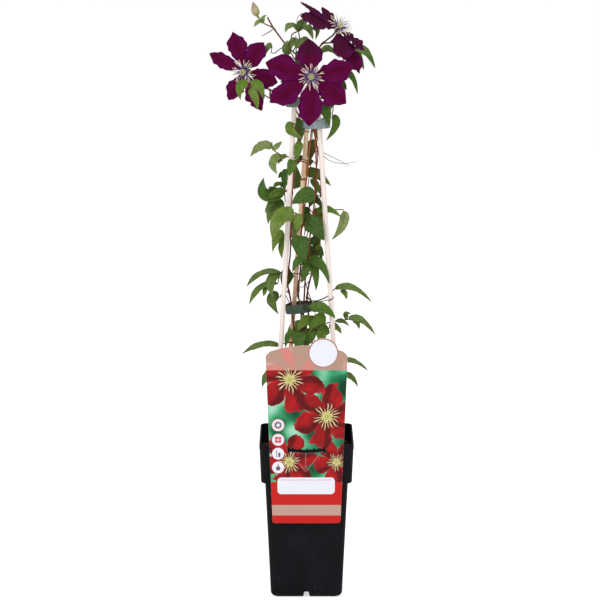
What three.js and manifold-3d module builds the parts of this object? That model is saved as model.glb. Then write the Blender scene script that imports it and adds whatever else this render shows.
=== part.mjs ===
// A young clematis in flower, trained up three canes in a square nursery pot.
// Millimetres, +Z up. The origin is the centre of the pot's underside and -Y is the plant's front.

import * as THREE from 'three';
import { mergeVertices } from 'three/addons/utils/BufferGeometryUtils.js';
import Module from 'manifold-3d';

const wasm = await Module();
wasm.setup();

// ---------- driving dimensions ----------

const GAP = 0.3;                     // air between neighbouring pieces
const MERGE_WITHIN = 0.09;           // joined solids lose slivers smaller than this

const POT_TOP = 120;                 // width over the rim
const POT_HEIGHT = 206;
const POT_WAIST = 106;               // width of the body just under the rim's skirt
const POT_FOOT = 92;                 // width at the foot
const POT_WALL = 2;
const POT_FLOOR = 10;
const SKIRT_HEIGHT = 51;
const NOTCH_WIDTH = 12;              // drainage notches at the middle of each side
const NOTCH_HEIGHT = 8;
const NOTCH_DEPTH = 26;

const SOIL_TOP = 189;
const SOIL_DIP = 5;                  // the compost sinks a little towards the rim

const DOWEL_RADIUS = 3.2;
const CANE_RADIUS = 3;
const CANE_KNUCKLE = 0.7;            // how far a node stands out of the cane
const STEM_RADIUS = 1.15;
const VINE_FOOT = 40;                // how deep a vine's foot stands below its first place
const SUPPORT_FOOT = 150;            // how low the canes reach in the compost
const KNUCKLE_FIRST = 186;           // bamboo nodes, measured along the cane from its foot
const KNUCKLE_SPACING = 192;

const RING_WALL = 1.3;
const RING_HEIGHT = 11.5;

const LABEL_THICK = 1;
const LABEL_FACE = -61.6;            // the card's front plane, just ahead of the rim
const LABEL_FOOT = 104;
const LABEL_TOP = 323;               // height of the card's shoulders
const LABEL_CROWN = 335;             // top of the arched edge
const LABEL_HALF_FOOT = 43;
const LABEL_HALF_TOP = 51.5;
const LOBE_CENTRE = [21, 325];
const LOBE_RADIUS = 19;

const BLADE_THICK = 0.8;
const PETIOLE_RADIUS = 0.9;
const TENDRIL_RADIUS = 0.45;
const FILAMENT_WIDTH = 1;

// ---------- colours ----------

const paint = (colour, roughness, metalness = 0) =>
  new THREE.MeshStandardMaterial({ color: colour, roughness, metalness });

const POT_BLACK = paint(0x19181c, 0.45);
const COMPOST = paint(0x4a2f1c, 0.95);
const CARD_TAN = paint(0xc9a083, 0.4);
const PALE_WOOD = paint(0xf4e2d4, 0.75);
const BAMBOO = paint(0xd0a878, 0.6);
const RING_GREEN = paint(0x55645a, 0.45);
const WIRE = paint(0x4a2a20, 0.5);
const VINE_BROWN = paint(0x7c3524, 0.7);
const LEAF_GREEN = paint(0x4c7a2c, 0.6);
const TEPAL_WINE = paint(0x5a0a38, 0.7);
const ANTHER_CREAM = paint(0xe2d4b4, 0.7);
const PISTIL_YELLOW = paint(0xc8c86a, 0.7);
const BUD_CREAM = paint(0xc8bb98, 0.7);

// ---------- solids and meshes ----------

const plant = new THREE.Group();

/** A closed geometry as a solid that can be joined and cut. */
function solid(geometry) {
  const bare = geometry.clone();
  bare.deleteAttribute('normal');
  bare.deleteAttribute('uv');
  const merged = mergeVertices(bare, 1e-4);
  const mesh = new wasm.Mesh({
    numProp: 3,
    vertProperties: new Float32Array(merged.attributes.position.array),
    triVerts: new Uint32Array(merged.index.array),
  });
  mesh.merge();
  return new wasm.Manifold(mesh);
}

/** A solid joined with all the others. */
const joined = (solids) => solids.reduce((whole, part) => whole.add(part)).simplify(MERGE_WITHIN);

/** Adds a solid to the plant as a named piece. */
function piece(name, body, material) {
  const { vertProperties, triVerts } = body.getMesh();
  const geometry = new THREE.BufferGeometry();
  geometry.setAttribute('position', new THREE.BufferAttribute(new Float32Array(vertProperties), 3));
  geometry.setIndex(new THREE.BufferAttribute(new Uint32Array(triVerts), 1));
  geometry.computeVertexNormals();
  const mesh = new THREE.Mesh(geometry, material);
  mesh.name = name;
  plant.add(mesh);
}

const point = (xyz) => new THREE.Vector3(...xyz);

/** A round bar along a smooth route through the given places. */
function bar(places, radius, sides = 4, steps = 0) {
  const section = new THREE.Shape();
  for (let i = 0; i < sides; i += 1) {
    const turn = (2 * Math.PI * i) / sides;
    const [x, y] = [radius * Math.cos(turn), radius * Math.sin(turn)];
    if (i === 0) section.moveTo(x, y);
    else section.lineTo(x, y);
  }
  section.closePath();
  const extrudePath = new THREE.CatmullRomCurve3(places.map(point), false, 'centripetal');
  const options = { steps: steps || 2 * (places.length - 1), bevelEnabled: false, extrudePath };
  return solid(new THREE.ExtrudeGeometry(section, options));
}

/** A closed skin over rings of points, with each end closed round its middle. */
function loft(rings) {
  const count = rings[0].length;
  const positions = rings.flat().flatMap((p) => [p.x, p.y, p.z]);
  const faces = [];
  for (let row = 0; row + 1 < rings.length; row += 1) {
    for (let i = 0; i < count; i += 1) {
      const [a, b] = [row * count + i, row * count + ((i + 1) % count)];
      faces.push(a, b, b + count, a, b + count, a + count);
    }
  }
  for (const [row, flip] of [[0, true], [rings.length - 1, false]]) {
    const middle = positions.length / 3;
    const centre = rings[row].reduce((sum, p) => sum.add(p), new THREE.Vector3()).divideScalar(count);
    positions.push(centre.x, centre.y, centre.z);
    for (let i = 0; i < count; i += 1) {
      const [a, b] = [row * count + i, row * count + ((i + 1) % count)];
      faces.push(middle, flip ? b : a, flip ? a : b);
    }
  }
  const geometry = new THREE.BufferGeometry();
  geometry.setAttribute('position', new THREE.Float32BufferAttribute(positions, 3));
  geometry.setIndex(faces);
  return solid(geometry);
}

// ---------- pot and compost ----------

/** A square with round corners, as a ring of points at one height. */
function squareRing(width, corner, z, turnsPerCorner = 4) {
  const ring = [];
  const reach = width / 2 - corner;
  for (let side = 0; side < 4; side += 1) {
    for (let i = 0; i <= turnsPerCorner; i += 1) {
      const turn = (Math.PI / 2) * (side + i / turnsPerCorner);
      const [sx, sy] = [[1, 1], [-1, 1], [-1, -1], [1, -1]][side];
      ring.push(new THREE.Vector3(
        sx * reach + corner * Math.cos(turn), sy * reach + corner * Math.sin(turn), z));
    }
  }
  return ring;
}

/** Width of the pot's inside at a height. */
function insideWidth(z) {
  const skirtFoot = POT_HEIGHT - SKIRT_HEIGHT;
  const wall = 2 * POT_WALL;
  if (z > skirtFoot) return POT_TOP - 4 - wall + (4 * (z - skirtFoot)) / SKIRT_HEIGHT;
  return POT_FOOT - wall + ((POT_WAIST - POT_FOOT) * z) / skirtFoot;
}

/** A block of the given size about a middle. */
function box(x, y, z, at) {
  return solid(new THREE.BoxGeometry(x, y, z).translate(...at));
}

function makePot() {
  const skirtFoot = POT_HEIGHT - SKIRT_HEIGHT;
  const outside = loft([
    squareRing(POT_FOOT - 3, 6, 0),
    squareRing(POT_FOOT, 7, 2),
    squareRing(POT_WAIST - 0.4, 9, skirtFoot - 1),
    squareRing(POT_TOP - 6, 9, skirtFoot),
    squareRing(POT_TOP - 4, 10, skirtFoot + 2),
    squareRing(POT_TOP, 10, POT_HEIGHT - 1),
    squareRing(POT_TOP - 1, 9.5, POT_HEIGHT),
  ]);
  const ledge = skirtFoot + 4;
  const inside = loft([
    squareRing(insideWidth(POT_FLOOR), 5, POT_FLOOR),
    squareRing(insideWidth(skirtFoot) - 0.4, 7, skirtFoot),
    squareRing(insideWidth(ledge), 8, ledge),
    squareRing(insideWidth(POT_HEIGHT), 8, POT_HEIGHT),
    squareRing(insideWidth(POT_HEIGHT), 8, POT_HEIGHT + 5),
  ]);
  let pot = outside.subtract(inside);
  const reach = POT_FOOT / 2 - NOTCH_DEPTH;
  const length = NOTCH_DEPTH + 10;
  for (const side of [-1, 1]) {
    const middle = side * (reach + length / 2);
    pot = pot.subtract(box(NOTCH_WIDTH, length, 2 * NOTCH_HEIGHT, [0, middle, 0]));
    pot = pot.subtract(box(length, NOTCH_WIDTH, 2 * NOTCH_HEIGHT, [middle, 0, 0]));
  }
  return pot;
}

function makeSoil(holes) {
  const skirtFoot = POT_HEIGHT - SKIRT_HEIGHT;
  const ledge = skirtFoot + 4;
  const shrink = 2 * GAP;
  const level = (x, y) => SOIL_TOP - SOIL_DIP * ((x * x + y * y) / (57 * 57))
    + 1.6 * Math.sin(x / 7) * Math.cos(y / 9) + 1.2 * Math.sin((x + 2 * y) / 11);
  const turns = 2;
  const crust = [1, 0.7, 0.35].map((part) =>
    squareRing((insideWidth(SOIL_TOP - 3 * SOIL_DIP) - shrink) * part, 8 * part, 0, turns)
      .map((p) => new THREE.Vector3(p.x, p.y, level(p.x, p.y))));
  const soil = loft([
    squareRing(insideWidth(POT_FLOOR) - shrink, 5, POT_FLOOR + GAP, turns),
    squareRing(insideWidth(skirtFoot) - 0.4 - shrink, 7, skirtFoot, turns),
    squareRing(insideWidth(ledge) - shrink, 8, ledge, turns),
    ...crust,
  ]);
  return soil.subtract(joined(holes));
}

// ---------- label card ----------

function makeLabel() {
  const card = new THREE.Shape();
  const corner = 4;
  card.moveTo(-LABEL_HALF_FOOT + corner, LABEL_FOOT);
  card.lineTo(LABEL_HALF_FOOT - corner, LABEL_FOOT);
  card.quadraticCurveTo(LABEL_HALF_FOOT, LABEL_FOOT, LABEL_HALF_FOOT + 0.2, LABEL_FOOT + corner);
  card.lineTo(LABEL_HALF_TOP, LABEL_TOP - corner);
  card.quadraticCurveTo(LABEL_HALF_TOP, LABEL_TOP, LABEL_HALF_TOP - 6, LABEL_TOP + 4);
  card.quadraticCurveTo(0, LABEL_CROWN + 7, -LABEL_HALF_TOP + 6, LABEL_TOP + 4);
  card.quadraticCurveTo(-LABEL_HALF_TOP, LABEL_TOP, -LABEL_HALF_TOP, LABEL_TOP - corner);
  card.lineTo(-LABEL_HALF_FOOT - 0.2, LABEL_FOOT + corner);
  card.quadraticCurveTo(-LABEL_HALF_FOOT, LABEL_FOOT, -LABEL_HALF_FOOT + corner, LABEL_FOOT);

  // the arched cut that lets the card hang on the rim
  const slot = new THREE.Path();
  slot.moveTo(-24, 203);
  slot.lineTo(-21.5, 203);
  slot.lineTo(-20.5, 200);
  slot.quadraticCurveTo(0, 195.5, 20.5, 200);
  slot.lineTo(21.5, 203);
  slot.lineTo(24, 203);
  slot.lineTo(23, 197);
  slot.quadraticCurveTo(0, 191.5, -23, 197);
  slot.closePath();
  card.holes.push(slot);

  const flat = { depth: LABEL_THICK, bevelEnabled: false, curveSegments: 6 };
  const stand = (geometry) => geometry.rotateX(Math.PI / 2).translate(0, LABEL_FACE + LABEL_THICK, 0);
  const sheet = solid(stand(new THREE.ExtrudeGeometry(card, flat)));
  const disc = new THREE.Shape().absarc(LOBE_CENTRE[0], LOBE_CENTRE[1], LOBE_RADIUS, 0, 2 * Math.PI);
  const lobe = solid(stand(new THREE.ExtrudeGeometry(disc, flat)));

  // the tongue that goes back over the rim and down inside it
  const rim = { back: -POT_TOP / 2 + 6, top: POT_HEIGHT + GAP };
  const shelf = rim.back - LABEL_FACE;
  const over = box(34, shelf, 1, [0, LABEL_FACE + shelf / 2, rim.top + 0.5]);
  const down = box(34, 1, 12, [0, rim.back - 0.5, rim.top - 5]);
  return joined([sheet, lobe, over, down]);
}

// ---------- canes and clips ----------

const SUPPORTS = {
  dowel_left: { foot: [-39, -16, 215], head: [-13, -4, 672], radius: DOWEL_RADIUS },
  dowel_right: { foot: [42, -15, 215], head: [11, -3, 684], radius: DOWEL_RADIUS },
  cane: { foot: [-28, 16, 207], head: [5, 0, 665], radius: CANE_RADIUS },
};

/** The place where a straight support's axis crosses a height. */
function crossing({ foot, head }, z) {
  const part = (z - foot[2]) / (head[2] - foot[2]);
  return [0, 1, 2].map((k) => foot[k] + part * (head[k] - foot[k]));
}

/** A turned profile stood along a support. */
function along(support, from, to, profile, sides) {
  const [low, high] = [point(crossing(support, from)), point(crossing(support, to))];
  const turned = new THREE.LatheGeometry(profile(low.distanceTo(high)), sides);
  const axis = high.clone().sub(low).normalize();
  const lift = new THREE.Quaternion().setFromUnitVectors(new THREE.Vector3(0, 1, 0), axis);
  turned.applyQuaternion(lift).translate(low.x, low.y, low.z);
  return solid(turned);
}

const rod = (radius) => (length) => [[0, 0], [radius, 0], [radius, length - 0.6],
  [radius - 0.6, length], [0, length]].map((p) => new THREE.Vector2(...p));

/** Bamboo: a straight rod with a swollen knuckle at each node. */
function bambooProfile(length) {
  const profile = [[0, 0], [CANE_RADIUS, 0]];
  for (let at = KNUCKLE_FIRST; at < length - 5; at += KNUCKLE_SPACING) {
    profile.push([CANE_RADIUS, at - 3], [CANE_RADIUS + CANE_KNUCKLE, at - 1]);
    profile.push([CANE_RADIUS + CANE_KNUCKLE, at], [CANE_RADIUS, at + 2]);
  }
  profile.push([CANE_RADIUS, length], [0, length]);
  return profile.map((p) => new THREE.Vector2(...p));
}

/** A flat oval band round a bundle of canes. */
function clipRing({ centre, reach, tilt }) {
  const turns = 20;
  const ring = (grow, z) => Array.from({ length: turns }, (_, i) => {
    const turn = (2 * Math.PI * i) / turns;
    return new THREE.Vector3(
      (reach[0] + grow) * Math.cos(turn), (reach[1] + grow) * Math.sin(turn), z);
  });
  const half = RING_HEIGHT / 2;
  const outer = loft([ring(0, -half), ring(0.25, -half + 1), ring(0.25, half - 1), ring(0, half)]);
  const inner = loft([ring(-RING_WALL, -half - 2), ring(-RING_WALL, half + 2)]);
  const turn = new THREE.Matrix4()
    .makeRotationFromEuler(new THREE.Euler(tilt[0], tilt[1], 0))
    .setPosition(...centre);
  return outer.subtract(inner).transform(turn.elements);
}

const RINGS = {
  ring_crown: { centre: [-14.5, -2, 635], reach: [11.5, 10.5], tilt: [0, 0] },
  ring_top: { centre: [12.5, -0.5, 608], reach: [17.5, 13], tilt: [0, 0] },
  ring_middle: { centre: [-9.5, 4, 371], reach: [17.5, 14.5], tilt: [0, -0.12] },
};

const TIES = { tie_top: 597, tie_upper: 561, tie_lower: 414 };

/** A loop of wire drawn round the cane. */
function wireTie(height) {
  const wire = 0.5;
  const loop = CANE_RADIUS + 2 * GAP + wire;
  const profile = () => [[-1, -1], [1, -1], [1, 1], [-1, 1], [-1, -1]]
    .map(([x, y]) => new THREE.Vector2(loop + x * wire, wire * (1 + y)));
  return along(SUPPORTS.cane, height, height + 1, profile, 8);
}

// ---------- where the flowers stand ----------

const tepal = (tip, width, face) => ({ tip, width, face });

/** Each flower: the middle of its face, the way it looks, and each tepal's tip, width and own way. */
const FLOWERS = {
  left: { centre: [-76, -16, 675], face: [-0.35, -0.93, -0.08],
    tepals: [tepal([-92, -17, 724], 26), tepal([-53, -31, 712], 25), tepal([-36, -33, 662], 26),
      tepal([-56, -23, 626], 24), tepal([-98, -9, 638], 22), tepal([-122, -4, 696], 19)] },
  middle: { centre: [5, -40, 670], face: [0.05, -1, 0.08],
    tepals: [tepal([2, -39, 717], 32), tepal([58, -40, 682], 31), tepal([49, -43, 637], 29),
      tepal([3, -48, 609], 31), tepal([-46, -48, 639], 29), tepal([-51, -44, 688], 31)] },
  right: { centre: [38, -8, 726], face: [0.45, -0.62, 0.64],
    tepals: [tepal([-8, -4, 760], 26, [0.6, -0.12, 0.79]), tepal([-8, -23, 744], 28),
      tepal([27, 20, 752], 24), tepal([46, -36, 690], 33), tepal([66, -20, 672], 26),
      tepal([72, -10, 700], 24, [0.56, -0.45, 0.7])] },
};

const CUP_DEPTH = 2.5;               // the receptacle behind a flower's face
const CUP_RADIUS = 4.5;
const CUP_FACE = 1.4;

/** A place behind a flower's cup, where its stalk runs in. */
function behind(name, distance) {
  const { centre, face } = FLOWERS[name];
  return point(centre).addScaledVector(point(face).normalize(), -distance).toArray();
}

// ---------- vines ----------

const STALK_END = CUP_DEPTH + GAP;
const VINES = {
  vine_centre: [[-4, 4, 186], [-7, 2, 300], [-7, 2, 364], [-10, 2, 385], [-8, 3, 420], [-6, 1, 478],
    [-2, -1, 520], [2, -4, 560], [5, -6, 590], [7, -6, 618], [9, -13, 642],
    behind('middle', 14), behind('middle', STALK_END)],
  vine_right: [[4, 0, 186], [0, 0, 300], [-4, 0, 360], [-2, 0, 400], [3, 1, 450], [9, 2, 500],
    [12, 3, 535], [12, 2, 565], [11, -1, 600], [14, 3, 640], [14, 4, 688], [17, 7, 704],
    behind('right', 12), behind('right', STALK_END)],
  vine_back: [[8, 8, 186], [8, 9, 300], [5, 9, 350], [1, 9, 372], [1, 9, 390], [15, 10, 445],
    [21, 9, 510], [19, 8, 548], [11, 7, 590], [9, 7, 610], [4, 9, 643], [-8, 2, 687], [-25, -2, 706],
    [-41, -3, 727], [-49, -3, 741]],
  vine_left: [[-10, -2, 186], [-13, -2, 300], [-17, -4, 355], [-20, -4, 380], [-24, 0, 402],
    [-21, 0, 440], [-19, 1, 510], [-13, 2, 561], [-10, 4, 593], [-11, 12, 618], [-27, 10, 640],
    [-42, 2, 648], [-52, -2, 654], behind('left', 12), behind('left', STALK_END)],
};

const vineSteps = (name) => Math.round(1.6 * VINES[name].length);

/** The place and the direction of a vine, as faceted, at a height. */
function onVine(name, z) {
  const curve = new THREE.CatmullRomCurve3(VINES[name].map(point), false, 'centripetal');
  const knots = curve.getSpacedPoints(vineSteps(name));
  const next = knots.findIndex((knot) => knot.z > z);
  const [low, high] = [knots[next - 1], knots[next]];
  const run = high.clone().sub(low);
  return { place: low.clone().addScaledVector(run, (z - low.z) / run.z), run: run.normalize() };
}

/** A vine with its foot in the compost. */
function makeVine(name) {
  const [x, y, z] = VINES[name][0];
  const foot = bar([[x, y, z - VINE_FOOT], [x, y, z + 1]], STEM_RADIUS, 5, 1);
  return foot.add(bar(VINES[name], STEM_RADIUS, 5, vineSteps(name)));
}

// ---------- blades: leaflets and tepals ----------

const OVATE = { neck: 0.04, rise: 0.42, fall: 0.95, stations: [0, 0.12, 0.35, 0.66, 1] };
const HEART = { neck: 0.04, rise: 0.32, fall: 0.85, stations: [0, 0.1, 0.3, 0.62, 1] };
const LANCE = { neck: 0, rise: 0.55, fall: 0.9, stations: [0, 0.16, 0.45, 0.75, 1] };
const TEPAL = { neck: 0, rise: 1, fall: 0.85, stations: [0, 0.14, 0.32, 0.52, 0.76, 1] };
const ACROSS = [-1, 0, 1];           // a blade's left edge, mid-rib and right edge
const BLADE_END = 0.5;               // half width of a blade where it starts and ends
const BLADE_ROOT = 0.8;              // how far a lone blade reaches back into its stalk
const JOINT_RADIUS = 1.4;            // the knuckle where several leaflets start together

/** A thin arched blade: a mid-rib from base over crest to tip, folded along it and waved at its edges. */
function blade({ base, crest, tip, face, width, form = OVATE, fold = 0.22, wave = 0.7, root = 0 }) {
  const [from, over, to] = [point(base), point(crest), point(tip)];
  const pull = over.clone().multiplyScalar(2).addScaledVector(from, -0.5).addScaledVector(to, -0.5);
  const rib = new THREE.QuadraticBezierCurve3(from, pull, to);
  const peakAt = form.rise / (form.rise + form.fall);
  const peak = peakAt ** form.rise * (1 - peakAt) ** form.fall;
  return sheet(form.stations.map((t, row) => {
    const ahead = rib.getTangent(t);
    const middle = rib.getPoint(t).addScaledVector(ahead, row === 0 ? -root : 0);
    const side = ahead.clone().cross(point(face)).normalize();
    const up = side.clone().cross(ahead).normalize();
    const along = Math.max(0, t - form.neck) / (1 - form.neck);
    const half = Math.max(BLADE_END, (width / 2) * (along ** form.rise * (1 - along) ** form.fall) / peak);
    const ripple = (row % 2 ? 1 : -1) * wave * Math.min(1, half / 4) * Math.min(1, 2 * along);
    const skin = (offset) => ACROSS.map((c) => middle.clone()
      .addScaledVector(side, c * half)
      .addScaledVector(up, half * fold * Math.abs(c) + ripple * c * Math.abs(c) + offset));
    return { upper: skin(BLADE_THICK / 2), lower: skin(-BLADE_THICK / 2) };
  }));
}

/** A closed sheet from rows of upper and lower points, both faces split into triangles alike. */
function sheet(rows) {
  const count = rows[0].upper.length;
  const positions = rows.flatMap(({ upper, lower }) => [...upper, ...lower])
    .flatMap((p) => [p.x, p.y, p.z]);
  const above = (row, i) => row * 2 * count + i;
  const below = (row, i) => above(row, i) + count;
  const faces = [];
  const quad = (a, b, c, d) => faces.push(a, b, c, a, c, d);
  for (let row = 0; row + 1 < rows.length; row += 1) {
    for (let i = 0; i + 1 < count; i += 1) {
      quad(above(row, i), above(row, i + 1), above(row + 1, i + 1), above(row + 1, i));
      faces.push(below(row, i), below(row + 1, i + 1), below(row, i + 1));
      faces.push(below(row, i), below(row + 1, i), below(row + 1, i + 1));
    }
    quad(above(row, 0), above(row + 1, 0), below(row + 1, 0), below(row, 0));
    const edge = count - 1;
    quad(above(row, edge), below(row, edge), below(row + 1, edge), above(row + 1, edge));
  }
  const last = rows.length - 1;
  for (let i = 0; i + 1 < count; i += 1) {
    quad(above(0, i), below(0, i), below(0, i + 1), above(0, i + 1));
    quad(above(last, i), above(last, i + 1), below(last, i + 1), below(last, i));
  }
  const geometry = new THREE.BufferGeometry();
  geometry.setAttribute('position', new THREE.Float32BufferAttribute(positions, 3));
  geometry.setIndex(faces);
  return solid(geometry);
}

// ---------- leaf sprays ----------

const FRONT = [0, -1, 0.35];         // the ways that a leaf's upper side looks
const UPWARD = [0, -0.6, 1];
const LEFTISH = [-0.5, -0.9, 0.5];
const RIGHTISH = [0.5, -0.9, 0.5];
const REAR = [0, 1, 0.4];

const leaf = (base, crest, tip, width, face = FRONT, form = OVATE) =>
  ({ base, crest, tip, width, face, form });

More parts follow.
